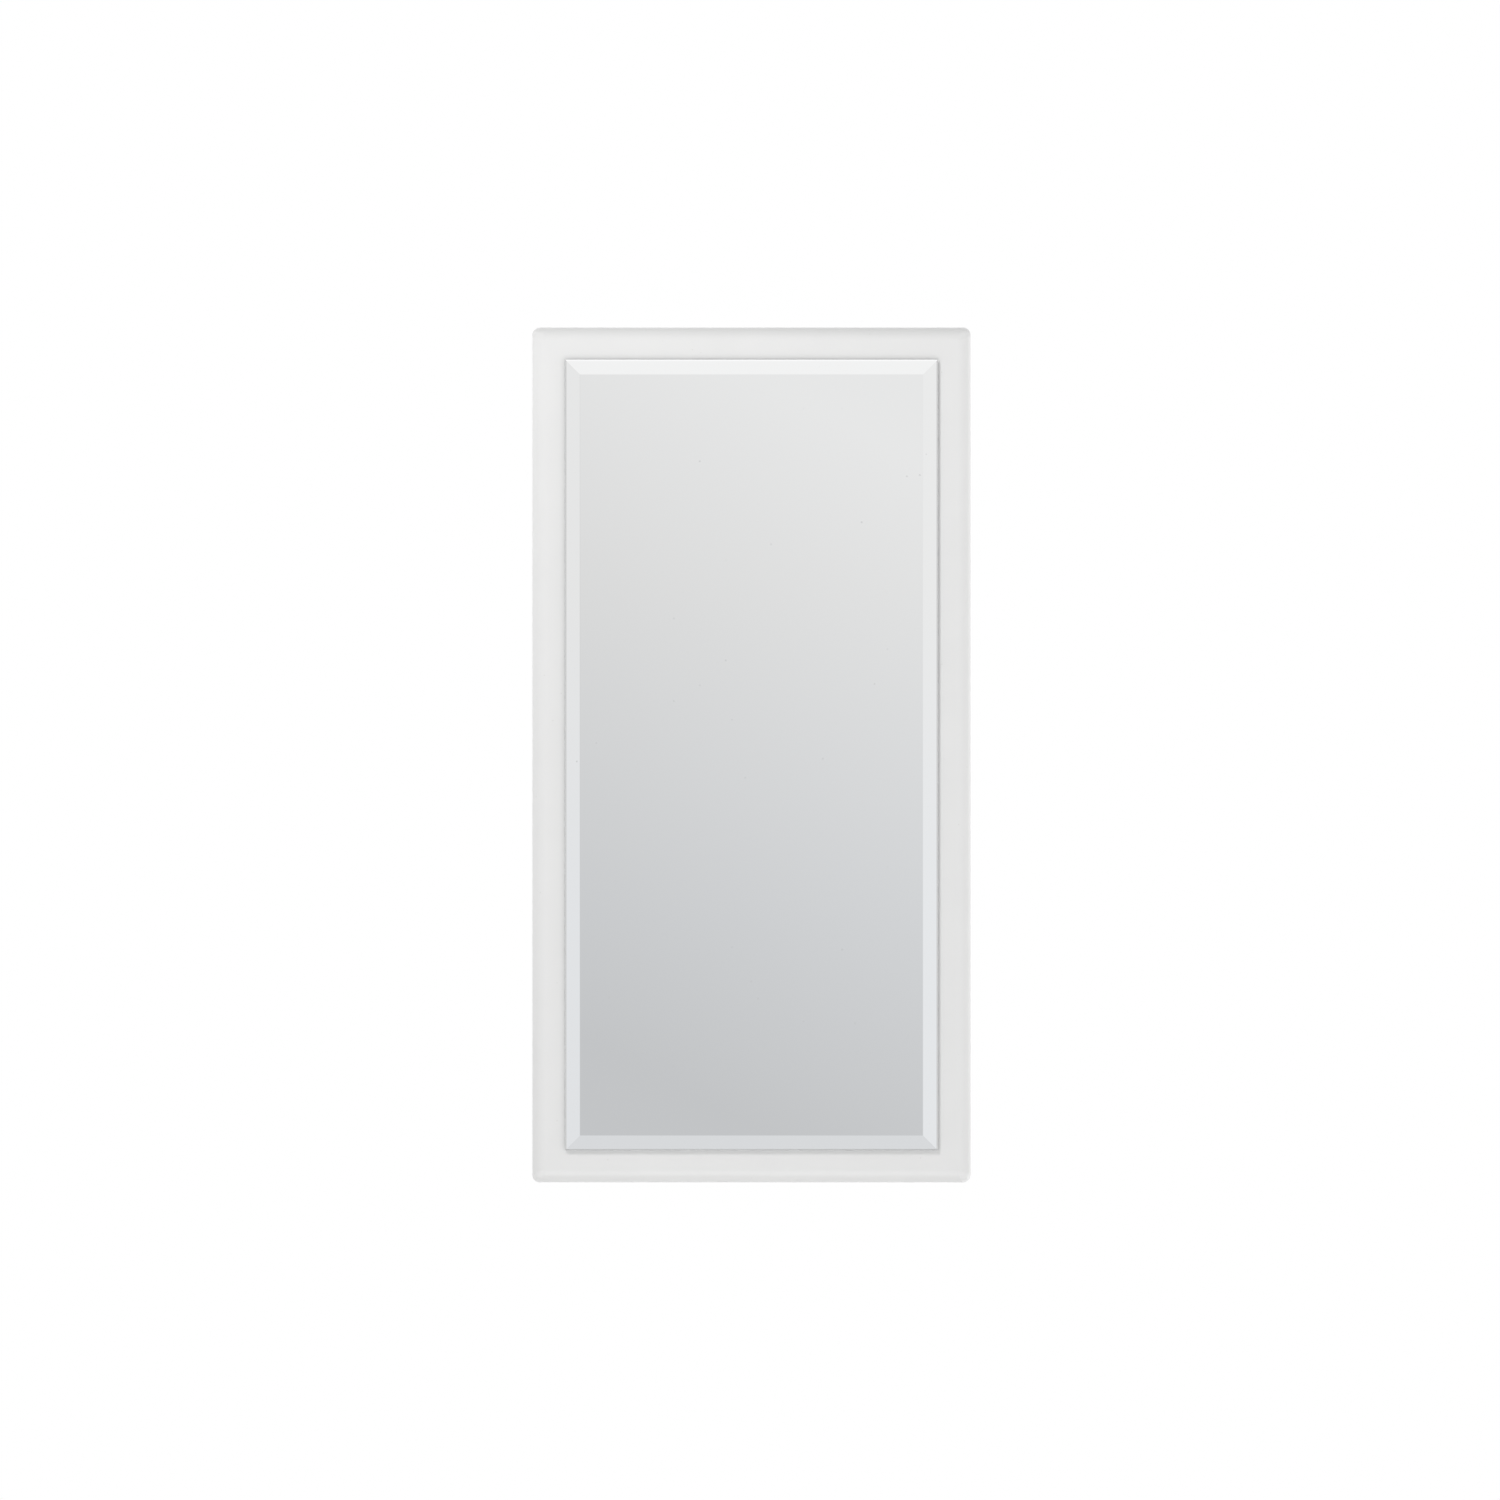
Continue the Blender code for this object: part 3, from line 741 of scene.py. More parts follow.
# ------------------------------------------------------------------ finishes
@dataclass(frozen=True)
class Finish:
    """A surface finish with the values that all finishes share."""

    name: str
    colour: Colour
    roughness: float
    relief: float = 0.0

    def start(self) -> tuple[bpy.types.Material, Wiring, bpy.types.Node, bpy.types.NodeSocket]:
        """Make the material with its Principled shader.

        Returns:
            The material, its wiring, its shader and its Object coordinates.
        """
        material = bpy.data.materials.new(self.name)
        material.use_nodes = True
        material.diffuse_color = (*self.colour, 1.0)
        wiring = Wiring(material.node_tree)
        shader = material.node_tree.nodes["Principled BSDF"]
        shader.inputs["Base Color"].default_value = (*self.colour, 1.0)
        shader.inputs["Roughness"].default_value = self.roughness
        place = wiring.node("ShaderNodeTexCoord").outputs["Object"]
        return material, wiring, shader, place

    def group(
        self, wiring: Wiring, tree: bpy.types.NodeTree, place: bpy.types.NodeSocket, **inputs: float
    ) -> bpy.types.Node:
        """Place a shared effect.

        Args:
            wiring: The material's wiring.
            tree: The effect's group.
            place: Coordinates that feed it.
            inputs: Its values, with underscores for spaces.

        Returns:
            The group node.
        """
        made = wiring.node("ShaderNodeGroup", node_tree=tree)
        wiring.feed(made.inputs["Place"], place)
        for key, value in inputs.items():
            made.inputs[key.replace("_", " ")].default_value = value
        return made

    @staticmethod
    def dress(wiring: Wiring, shader: bpy.types.Node, tone: bpy.types.NodeSocket, rough: bpy.types.NodeSocket) -> None:
        """Feed the shader's colour and roughness."""
        wiring.feed(shader.inputs["Base Color"], tone)
        wiring.feed(shader.inputs["Roughness"], rough)

    def bump(self, wiring: Wiring, shader: bpy.types.Node, height: bpy.types.NodeSocket, distance: float) -> None:
        """Feed the shader's normal from a height."""
        made = wiring.node("ShaderNodeBump", {"Strength": self.relief, "Distance": distance, "Height": height})
        wiring.feed(shader.inputs["Normal"], made.outputs[0])


@dataclass(frozen=True)
class Lacquer(Finish):
    """Sprayed satin lacquer with a clear gloss, orange peel and faint handling."""

    coat: float = 0.35
    coat_roughness: float = 0.12

    def make(self) -> bpy.types.Material:
        """Build the material."""
        material, wiring, shader, place = self.start()
        peel = self.group(wiring, EFFECTS.fine_grain, place, Short_Scale=520.0, Long_Scale=26.0, Long_Share=0.35)
        used = self.group(
            wiring, EFFECTS.handling, place, Patch_Scale=7.0, Smear_Stretch=0.35, Speck_Scale=260.0, Speck_Share=0.02
        )
        shade = tuple(0.965 * part for part in self.colour)
        tone = wiring.mix(wiring.span(peel.outputs["Cloud"], 0.35, 0.65, 0.0, 0.35), self.colour, shade)
        dusty = wiring.mix(wiring.math("MULTIPLY", used.outputs["Speck"], 0.25), tone, (0.62, 0.61, 0.58))
        rough = wiring.math("MULTIPLY_ADD", used.outputs["Smear"], 0.10, self.roughness)
        self.dress(wiring, shader, dusty, wiring.math("MULTIPLY_ADD", peel.outputs["Height"], 0.05, rough))
        shader.inputs["Coat Weight"].default_value = self.coat
        shader.inputs["Coat Roughness"].default_value = self.coat_roughness
        self.bump(wiring, shader, peel.outputs["Height"], 0.00012)
        return material


@dataclass(frozen=True)
class FacedBoard(Finish):
    """Melamine paper on board, with a pressed pearl texture and a hairline at the edge band."""

    band_line: float | None = None

    def make(self) -> bpy.types.Material:
        """Build the material."""
        material, wiring, shader, place = self.start()
        pearl = self.group(wiring, EFFECTS.fine_grain, place, Short_Scale=1500.0, Long_Scale=320.0, Long_Share=0.55)
        used = self.group(
            wiring, EFFECTS.handling, place, Patch_Scale=6.0, Smear_Stretch=0.5, Speck_Scale=300.0, Speck_Share=0.03
        )
        shade = tuple(0.955 * part for part in self.colour)
        tone = wiring.mix(wiring.span(pearl.outputs["Height"], 0.4, 0.6, 0.0, 0.5), self.colour, shade)
        tone = wiring.mix(wiring.math("MULTIPLY", used.outputs["Speck"], 0.3), tone, (0.58, 0.56, 0.52))
        if self.band_line is not None:
            depth = wiring.node("ShaderNodeSeparateXYZ", {0: place}).outputs[1]
            off = wiring.math("ABSOLUTE", wiring.math("SUBTRACT", depth, self.band_line))
            tone = wiring.mix(wiring.span(off, 0.00003, 0.00012, 0.55, 0.0), tone, (0.42, 0.40, 0.36))
        rough = wiring.math("MULTIPLY_ADD", used.outputs["Smear"], -0.08, self.roughness)
        self.dress(wiring, shader, tone, wiring.math("MULTIPLY_ADD", pearl.outputs["Height"], 0.10, rough))
        self.bump(wiring, shader, pearl.outputs["Height"], 0.00010)
        return material


@dataclass(frozen=True)
class Chipboard(Finish):
    """Raw pressed wood: pale chips, dark fibres and pores."""

    chip: float = 260.0
    dark: Colour = (0.20, 0.12, 0.06)

    def make(self) -> bpy.types.Material:
        """Build the material."""
        material, wiring, shader, place = self.start()
        chips = wiring.node("ShaderNodeTexVoronoi", {"Vector": place, "Scale": self.chip, "Randomness": 1.0})
        fibre = wiring.noise(place, self.chip * 3.0, 6.0, 0.7)
        share = wiring.node("ShaderNodeSeparateColor", {0: chips.outputs["Color"]}).outputs[0]
        tone = wiring.mix(
            wiring.span(share, 0.0, 1.0, 0.0, 0.55), self.colour, tuple(0.55 * part for part in self.colour)
        )
        tone = wiring.mix(wiring.span(fibre, 0.55, 0.75, 0.0, 0.7), tone, self.dark)
        self.dress(wiring, shader, tone, wiring.span(fibre, 0.3, 0.7, self.roughness, 0.98))
        self.bump(wiring, shader, wiring.math("ADD", fibre, chips.outputs["Distance"]), 0.0004)
        return material


@dataclass(frozen=True)
class Silvered(Finish):
    """Mirror silver behind clear glass, with a wiped film and rare specks."""

    def make(self) -> bpy.types.Material:
        """Build the material."""
        material, wiring, shader, place = self.start()
        used = self.group(
            wiring, EFFECTS.handling, place, Patch_Scale=5.0, Smear_Stretch=2.2, Speck_Scale=170.0, Speck_Share=0.015
        )
        tone = wiring.mix(wiring.math("MULTIPLY", used.outputs["Speck"], 0.22), self.colour, (0.55, 0.56, 0.56))
        film = wiring.math("MULTIPLY", used.outputs["Smear"], 0.05)
        rough = wiring.math("MULTIPLY_ADD", used.outputs["Speck"], 0.2, wiring.math("ADD", film, self.roughness))
        self.dress(wiring, shader, tone, rough)
        shader.inputs["Metallic"].default_value = 1.0
        shader.inputs["Coat Weight"].default_value = 0.3
        shader.inputs["Coat Roughness"].default_value = 0.02
        return material


@dataclass(frozen=True)
class ClearGlass(Finish):
    """Clear glass that turns green through its edges, with light handling."""

    def make(self) -> bpy.types.Material:
        """Build the material."""
        material, wiring, shader, place = self.start()
        used = self.group(
            wiring, EFFECTS.handling, place, Patch_Scale=8.0, Smear_Stretch=3.0, Speck_Scale=220.0, Speck_Share=0.02
        )
        tone = wiring.mix(wiring.math("MULTIPLY", used.outputs["Speck"], 0.4), self.colour, (0.75, 0.75, 0.73))
        self.dress(wiring, shader, tone, wiring.math("MULTIPLY_ADD", used.outputs["Smear"], 0.06, self.roughness))
        shader.inputs["Transmission Weight"].default_value = 1.0
        shader.inputs["IOR"].default_value = 1.52
        return material


@dataclass(frozen=True)
class GroundGlass(Finish):
    """Ground glass edge: grey-green, with wheel marks along it."""

    def make(self) -> bpy.types.Material:
        """Build the material."""
        material, wiring, shader, place = self.start()
        marks = self.group(wiring, EFFECTS.fine_grain, place, Short_Scale=2600.0, Long_Scale=500.0, Long_Share=0.4)
        tone = wiring.mix(marks.outputs["Height"], self.colour, tuple(0.8 * part for part in self.colour))
        self.dress(
            wiring, shader, tone, wiring.span(marks.outputs["Height"], 0.3, 0.7, self.roughness, self.roughness + 0.25)
        )
        self.bump(wiring, shader, marks.outputs["Height"], 0.00008)
        return material


@dataclass(frozen=True)
class Plated(Finish):
    """Plated steel: drawn grain, cloudy gloss and rubbed corners that show darker steel."""

    across: float = 1600.0
    worn: Colour = (0.42, 0.41, 0.40)
    cloud_colour: Colour = (0.58, 0.57, 0.55)

    def make(self) -> bpy.types.Material:
        """Build the material."""
        material, wiring, shader, place = self.start()
        drawn = self.group(wiring, EFFECTS.drawn_grain, place, Across=self.across, Along=self.across / 28.0)
        cloud = self.group(wiring, EFFECTS.fine_grain, place, Short_Scale=700.0, Long_Scale=110.0, Long_Share=0.7)
        wear = self.group(wiring, EFFECTS.edge_wear, place, Break_Scale=700.0, Band=0.09)
        tone = wiring.mix(wiring.span(cloud.outputs["Cloud"], 0.35, 0.7, 0.0, 0.6), self.colour, self.cloud_colour)
        tone = wiring.mix(wiring.math("MULTIPLY", wear.outputs[0], 0.6), tone, self.worn)
        rough = wiring.span(drawn.outputs[0], 0.3, 0.7, self.roughness * 0.8, self.roughness * 1.35)
        self.dress(wiring, shader, tone, rough)
        shader.inputs["Metallic"].default_value = 1.0
        self.bump(wiring, shader, drawn.outputs[0], 0.00004)
        return material


@dataclass(frozen=True)
class Moulded(Finish):
    """Moulded plastic with a spark-eroded grain and scuffed corners."""

    grain: float = 1400.0
    scuff: float = 0.12

    def make(self) -> bpy.types.Material:
        """Build the material."""
        material, wiring, shader, place = self.start()
        grain = self.group(
            wiring, EFFECTS.fine_grain, place, Short_Scale=self.grain, Long_Scale=self.grain / 6.0, Long_Share=0.3
        )
        wear = self.group(wiring, EFFECTS.edge_wear, place, Break_Scale=500.0, Band=0.10)
        used = self.group(wiring, EFFECTS.handling, place, Patch_Scale=30.0, Speck_Scale=500.0, Speck_Share=0.03)
        pale = tuple(min(1.0, part + self.scuff) for part in self.colour)
        tone = wiring.mix(
            wiring.math("MULTIPLY", grain.outputs["Cloud"], 0.5),
            self.colour,
            tuple(0.92 * part for part in self.colour),
        )
        tone = wiring.mix(wiring.math("MULTIPLY", wear.outputs[0], 0.5), tone, pale)
        rough = wiring.math("MULTIPLY_ADD", grain.outputs["Height"], 0.15, self.roughness)
        self.dress(wiring, shader, tone, wiring.math("MULTIPLY_ADD", used.outputs["Smear"], -0.08, rough))
        self.bump(wiring, shader, grain.outputs["Height"], 0.00010)
        return material


@dataclass(frozen=True)
class Glowing(Moulded):
    """Pale studio sheet that looks lit from below, and lights nothing itself."""

    glow: float = 0.34

    def make(self) -> bpy.types.Material:
        """Build the material."""
        material = super().make()
        tree = material.node_tree
        shader = next(node for node in tree.nodes if node.type == "BSDF_PRINCIPLED")
        shader.inputs["Emission Color"].default_value = (self.glow, self.glow, self.glow, 1.0)
        tree.links.new(
            tree.nodes.new("ShaderNodeLightPath").outputs["Is Camera Ray"], shader.inputs["Emission Strength"]
        )
        return material


@dataclass(frozen=True)
class Soft(Finish):
    """Clear soft bumper plastic: milky, with a faint glow through it."""

    def make(self) -> bpy.types.Material:
        """Build the material."""
        material, wiring, shader, place = self.start()
        grain = self.group(wiring, EFFECTS.fine_grain, place, Short_Scale=1200.0, Long_Scale=300.0, Long_Share=0.6)
        tone = wiring.mix(grain.outputs["Cloud"], self.colour, tuple(0.93 * part for part in self.colour))
        self.dress(
            wiring, shader, tone, wiring.span(grain.outputs["Height"], 0.3, 0.7, self.roughness, self.roughness + 0.1)
        )
        shader.inputs["Subsurface Weight"].default_value = 0.3
        shader.inputs["Subsurface Scale"].default_value = 0.002
        self.bump(wiring, shader, grain.outputs["Height"], 0.00006)
        return material


@dataclass(frozen=True)
class Foam(Finish):
    """Closed cell foam tape: dark, pitted cells, with painted shade that darkens each pit."""

    cell: float = 2200.0

    def make(self) -> bpy.types.Material:
        """Build the material."""
        material, wiring, shader, place = self.start()
        cells = wiring.node("ShaderNodeTexVoronoi", {"Vector": place, "Scale": self.cell})
        # Painted shade: the colour darkens towards each cell's middle, where the bump below sinks the pit.
        tone = wiring.mix(
            wiring.span(cells.outputs["Distance"], 0.0, 0.6, 0.0, 1.0),
            tuple(0.6 * part for part in self.colour),
            self.colour,
        )
        self.dress(wiring, shader, tone, wiring.span(cells.outputs["Distance"], 0.0, 0.6, self.roughness, 0.95))
        self.bump(wiring, shader, cells.outputs["Distance"], 0.0003)
        return material


class Palette:
    """Every finish of the cabinet, made once."""

    def __init__(self) -> None:
        """Build the materials."""
        self.lacquer = Lacquer("door_lacquer", (0.90, 0.90, 0.895), 0.30, 0.10).make()
        self.board = FacedBoard("faced_board", (0.86, 0.86, 0.85), 0.42, 0.18, band_line=-0.1432).make()
        self.back_board = FacedBoard("faced_back_board", (0.85, 0.85, 0.84), 0.46, 0.15).make()
        self.chipboard = Chipboard("raw_chipboard", (0.62, 0.45, 0.27), 0.85, 0.6).make()
        self.hardboard = Chipboard(
            "raw_hardboard", (0.30, 0.17, 0.09), 0.80, 0.35, chip=900.0, dark=(0.14, 0.08, 0.04)
        ).make()
        self.fibreboard = Chipboard(
            "raw_fibreboard", (0.58, 0.44, 0.30), 0.90, 0.25, chip=2200.0, dark=(0.40, 0.28, 0.18)
        ).make()
        self.silver = Silvered("silvered_glass", (0.94, 0.945, 0.945), 0.004).make()
        self.ground_edge = GroundGlass("ground_glass_edge", (0.70, 0.76, 0.74), 0.38, 0.25).make()
        self.backing = Moulded("mirror_backing_paint", (0.36, 0.39, 0.41), 0.55, 0.15, grain=600.0).make()
        self.glass = ClearGlass("clear_glass", (0.93, 0.975, 0.955), 0.0).make()
        self.glass_edge = GroundGlass("polished_glass_edge", (0.40, 0.66, 0.56), 0.12, 0.3).make()
        self.nickel = Plated("nickel_plate", (0.76, 0.74, 0.71), 0.20, 0.12).make()
        self.zinc = Plated(
            "zinc_plate", (0.66, 0.67, 0.68), 0.34, 0.20, across=1100.0, cloud_colour=(0.50, 0.51, 0.53)
        ).make()
        self.white_plastic = Moulded("moulded_white", (0.83, 0.83, 0.81), 0.34, 0.12, scuff=0.05).make()
        self.grey_plastic = Moulded("moulded_grey", (0.42, 0.43, 0.44), 0.42, 0.18).make()
        self.soft = Soft("soft_bumper", (0.80, 0.81, 0.80), 0.35, 0.1).make()
        self.foam = Foam("closed_cell_foam", (0.34, 0.35, 0.36), 0.80, 0.5).make()
        self.floor = Glowing("studio_floor", (0.90, 0.90, 0.90), 0.60, 0.02, grain=120.0, scuff=0.0).make()


# ------------------------------------------------------------------ studio
@dataclass
class Studio:
    """Camera, soft light and floor round the hanging cabinet."""

    door_low: Vector
    door_high: Vector
    distance: float = 5.0
    width: float = 1.370
    sensor: float = 36.0
    aside: float = -0.00137
    rise: float = 0.00457
    floor_drop: float = 0.85

    def build(self, palette: "Palette") -> None:
        """Make everything that isn't part of the cabinet.

        Args:
            palette: The finishes.
        """
        self.build_camera()
        self.build_surroundings()
        self.build_lamp("key", (-1.45, -2.05, 2.05), (0.0, 0.0, -0.33), 0.9, 51.0)
        self.build_lamp("fill", (0.0, -0.90, -1.30), (0.0, -0.16, -0.72), 0.5, 1.4)
        self.build_floor(palette.floor)
        bpy.context.scene.view_settings.view_transform = "Standard"

    def build_camera(self) -> None:
        """Place a long lens straight in front of the door."""
        lens = bpy.data.cameras.new("camera")
        lens.sensor_width = self.sensor
        lens.lens = self.sensor * self.distance / self.width
        lens.clip_end = 50.0
        camera = linked("camera", lens)
        plane = self.door_low.y + 0.018
        middle = 0.5 * (self.door_low.z + self.door_high.z)
        camera.location = (self.aside, plane - self.distance, middle + self.rise)
        camera.rotation_euler = (math.pi / 2.0, 0.0, 0.0)
        bpy.context.scene.camera = camera

    def build_surroundings(self) -> None:
        """Light tent: white behind, a soft gradient in front, a darker ceiling."""
        world = bpy.data.worlds.new("light_tent")
        world.use_nodes = True
        bpy.context.scene.world = world
        world.node_tree.nodes.clear()
        wiring = Wiring(world.node_tree)
        ray = wiring.node("ShaderNodeLightPath")
        way = wiring.node("ShaderNodeSeparateXYZ", {0: wiring.node("ShaderNodeTexCoord").outputs["Generated"]})
        x, y, z = way.outputs
        near = wiring.math("MULTIPLY_ADD", z, 1.9, wiring.math("MULTIPLY", x, 1.0))
        near = wiring.math("ADD", wiring.span(near, -0.13, 0.13, -0.13, 0.13), 0.715)
        far = wiring.math("MULTIPLY_ADD", z, 0.28, wiring.math("MULTIPLY_ADD", x, 0.05, 0.841))
        reach = wiring.math("SQRT", wiring.math("ADD", wiring.math("MULTIPLY", x, x), wiring.math("MULTIPLY", z, z)))
        blend = wiring.node(
            "ShaderNodeMapRange", {0: reach, 1: 0.08, 2: 0.31, 3: 0.0, 4: 1.0}, interpolation_type="SMOOTHSTEP"
        )
        front = wiring.math(
            "ADD",
            wiring.math("MULTIPLY", near, wiring.math("SUBTRACT", 1.0, blend.outputs[0])),
            wiring.math("MULTIPLY", far, blend.outputs[0]),
        )
        cool = wiring.mix(wiring.span(z, -0.03, 0.03, 1.0, 0.0), (1.0, 1.0, 1.0), (0.985, 1.0, 1.022))
        seen = wiring.node("ShaderNodeVectorMath", {0: cool, "Scale": front}, operation="SCALE").outputs[0]
        steep = wiring.math("ADD", wiring.span(wiring.math("ABSOLUTE", z), 0.42, 0.62, 0.0, 0.42), 0.62)
        ring = wiring.node(
            "ShaderNodeMapRange", {0: reach, 1: 0.36, 2: 0.62, 3: 0.0, 4: 1.0}, interpolation_type="SMOOTHSTEP"
        )
        seen = wiring.mix(ring.outputs[0], seen, steep)
        glossy = wiring.mix(wiring.span(y, -0.02, 0.2, 0.0, 1.0), seen, (1.0, 1.0, 1.0))
        rise = wiring.span(z, -0.44, 0.16, 1.10, 0.0)
        aside = wiring.math("ADD", wiring.span(x, 0.2, 1.0, 0.0, 0.85), wiring.span(x, -1.0, -0.2, 0.15, 0.0))
        tent = wiring.math("SUBTRACT", wiring.math("ADD", rise, aside), wiring.span(z, -1.0, -0.6, 0.45, 0.0))
        glow = wiring.node("ShaderNodeBackground", {0: (1.0, 1.0, 1.0, 1.0), 1: tent})
        sheen = wiring.node("ShaderNodeBackground", {0: glossy, 1: 1.0})
        white = wiring.node("ShaderNodeBackground", {0: (1.0, 1.0, 1.0, 1.0), 1: 1.0})
        mixed = wiring.node(
            "ShaderNodeMixShader", {0: ray.outputs["Is Diffuse Ray"], 1: sheen.outputs[0], 2: glow.outputs[0]}
        )
        last = wiring.node(
            "ShaderNodeMixShader", {0: ray.outputs["Is Camera Ray"], 1: mixed.outputs[0], 2: white.outputs[0]}
        )
        wiring.node("ShaderNodeOutputWorld", {0: last.outputs[0]})

    def build_lamp(self, name: str, place: Point, aim: Point, size: float, energy: float) -> None:
        """Add a soft square light that isn't mirrored.

        Args:
            name: Name of the light.
            place: Where it hangs.
            aim: The point that it faces.
            size: Side of its square.
            energy: Its power.
        """
        lamp = bpy.data.lights.new(name, "AREA")
        lamp.shape = "SQUARE"
        lamp.size = size
        lamp.energy = energy
        light = linked(name, lamp)
        light.location = place
        light.rotation_euler = (Vector(aim) - Vector(place)).to_track_quat("-Z", "Y").to_euler()
        light.visible_glossy = False
        light.visible_camera = False

    def build_floor(self, material: bpy.types.Material) -> None:
        """Pale floor below the cabinet, short of the front view."""
        level = self.door_low.z - self.floor_drop
        floor = box("floor", (-1.2, -0.75, level - 0.02), (1.2, 0.75, level))
        paint(floor, material)


# ------------------------------------------------------------------ door
@dataclass
class Door:
    """Lacquered slab with a bevelled mirror on foam tape."""

    palette: "Palette"
    front_round: float = 0.013
    corner_round: float = 0.007
    back_round: float = 0.002
    round_steps: int = 20
    bevel: float = 0.014
    bevel_deep: float = 0.0022
    arris: float = 0.0017
    ridge: float = 0.0003
    cup_radius: float = 0.0178
    cup_deep: float = 0.0128
    screw_bore: float = 0.0019

    def build(self) -> None:
        """Make and dress the slab, the mirror and the tape."""
        self.build_slab()
        self.build_mirror()
        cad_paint("mirror_tape", self.palette.foam)

    def build_slab(self) -> None:
        """Slab with differently rounded edges, bored for its fittings."""
        low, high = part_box("door_panel")
        middle = 0.5 * (low.y + high.y)
        slab = box("door_slab", low, high)
        weights = slab.data.attributes.new("bevel_weight_edge", "FLOAT", "EDGE")
        for edge, weight in zip(slab.data.edges, weights.data):
            first, second = (slab.data.vertices[i].co.y - middle for i in edge.vertices)
            if first * second < 0.0:
                weight.value = self.corner_round / self.front_round
            elif first < 0.0:
                weight.value = 1.0
            else:
                weight.value = self.back_round / self.front_round
        rounding = slab.modifiers.new("Edges", "BEVEL")
        rounding.limit_method = "WEIGHT"
        rounding.width = self.front_round
        rounding.segments = self.round_steps
        paint(slab, self.palette.lacquer)
        tools = []
        for level in Level:
            cup_low, cup_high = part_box(level.value + "_hinge_cup")
            rise = 0.5 * (cup_low.z + cup_high.z)
            across = (cup_high.x - self.cup_radius - 0.0009, rise)
            tools.append(rod("bore", Axis.Y, across, self.cup_radius, high.y - self.cup_deep, high.y + 0.003, 72))
            for end in ("lower", "upper"):
                tools.append(self.screw_tool(f"{level.value}_cup_screw_{end}", high.y))
        tools.append(self.screw_tool("strike_screw", high.y))
        for tool in tools:
            paint(tool, self.palette.fibreboard)
        cut(slab, *tools)
        Piece("door_slab", DOOR, "white_lacquer", ("door_panel",)).finish(slab)

    def screw_tool(self, node: str, face: float) -> bpy.types.Object:
        """Drill for one screw of the door's back face.

        Args:
            node: CAD node of the screw.
            face: The back face.

        Returns:
            The cutting rod.
        """
        low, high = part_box(node)
        across = (0.5 * (low.x + high.x), 0.5 * (low.z + high.z))
        return rod("bore", Axis.Y, across, self.screw_bore, low.y - HAIR, face + 0.003, 20)

    def build_mirror(self) -> None:
        """Bevelled mirror: silvered face, ground rim, painted back."""
        low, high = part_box("mirror")
        rim = low.y + self.bevel_deep
        glass = box("mirror_glass", (low.x, rim, low.z), high)
        shape = bmesh.new()
        shape.from_mesh(glass.data)
        shape.normal_update()
        faces = [face for face in shape.faces if face.normal.y < -0.5]
        bmesh.ops.inset_region(shape, faces=faces, thickness=self.bevel, depth=self.bevel_deep, use_even_offset=True)
        shape.normal_update()
        inner = [edge for edge in shape.edges if all(abs(vert.co.y - low.y) < 1e-6 for vert in edge.verts)]
        bmesh.ops.bevel(shape, geom=inner, offset=self.ridge, segments=3, profile=0.5, affect="EDGES")
        outer = [
            edge
            for edge in shape.edges
            if all(abs(vert.co.y - rim) < 1e-6 for vert in edge.verts)
            and len({face.normal.y < -0.5 for face in edge.link_faces}) == 2
        ]
        bmesh.ops.bevel(shape, geom=outer, offset=self.arris, segments=2, profile=0.5, affect="EDGES")
        shape.to_mesh(glass.data)
        shape.free()
        glass.data.update()
        paint(glass, self.palette.silver)
        paint_faces(glass, self.palette.ground_edge, lambda face: -0.15 < face.normal.y < 0.5)
        paint_faces(glass, self.palette.backing, lambda face: face.normal.y >= 0.5)
        Piece("mirror_glass", DOOR, "mirror_silver", ("mirror",)).finish(glass, smooth=False)


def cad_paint(node: str, material: bpy.types.Material) -> None:
    """Dress a CAD node that stays.

    Args:
        node: Its name.
        material: The finish for all of its slots.
    """
    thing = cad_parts[node]
    thing.data.materials.clear()
    thing.data.materials.append(material)


# ------------------------------------------------------------------ repeated fittings
class Scatter:
    """Geometry Nodes tree that sets one shape at every point, turned along the point's facing."""

    def __init__(self, name: str, sizes: dict[str, tuple[str, object]]) -> None:
        """Make the tree with its named inputs.

        Args:
            name: Name of the tree.
            sizes: Input names to their socket types and defaults.
        """
        self.tree = bpy.data.node_groups.new(name, "GeometryNodeTree")
        self.tree.interface.new_socket("Points", in_out="INPUT", socket_type="NodeSocketGeometry")
        for key, (kind, value) in sizes.items():
            socket = self.tree.interface.new_socket(key, in_out="INPUT", socket_type=kind)
            if value is not None:
                socket.default_value = value
        self.tree.interface.new_socket("Result", in_out="OUTPUT", socket_type="NodeSocketGeometry")
        self.wiring = Wiring(self.tree)
        self.start = self.wiring.node("NodeGroupInput")

    def close(self, shape: bpy.types.NodeSocket) -> None:
        """Wire the instances, their turning and their material.

        Args:
            shape: The geometry to set at each point.
        """
        wiring, start = self.wiring, self.start
        facing = wiring.node("GeometryNodeInputNamedAttribute", {"Name": "facing"}, data_type="FLOAT_VECTOR")
        align = wiring.node("FunctionNodeAlignRotationToVector", {"Vector": facing.outputs[0]}, axis="Z")
        loose = wiring.node("FunctionNodeRandomValue", {"Seed": 7}, data_type="FLOAT")
        wiring.feed(loose.inputs[2], wiring.math("MULTIPLY", start.outputs["Loose Turn"], -1.0))
        wiring.feed(loose.inputs[3], start.outputs["Loose Turn"])
        about = wiring.node("FunctionNodeAxisAngleToRotation", {"Axis": (0.0, 0.0, 1.0), "Angle": loose.outputs[1]})
        turn = wiring.node(
            "FunctionNodeRotateRotation",
            {"Rotation": align.outputs[0], "Rotate By": about.outputs[0]},
            rotation_space="LOCAL",
        )
        setting = wiring.node(
            "GeometryNodeInstanceOnPoints",
            {"Points": start.outputs["Points"], "Instance": shape, "Rotation": turn.outputs[0]},
        )
        real = wiring.node("GeometryNodeRealizeInstances", {0: setting.outputs[0]})
        dressed = wiring.node(
            "GeometryNodeSetMaterial", {"Geometry": real.outputs[0], "Material": start.outputs["Finish"]}
        )
        wiring.node("NodeGroupOutput", {0: dressed.outputs[0]})


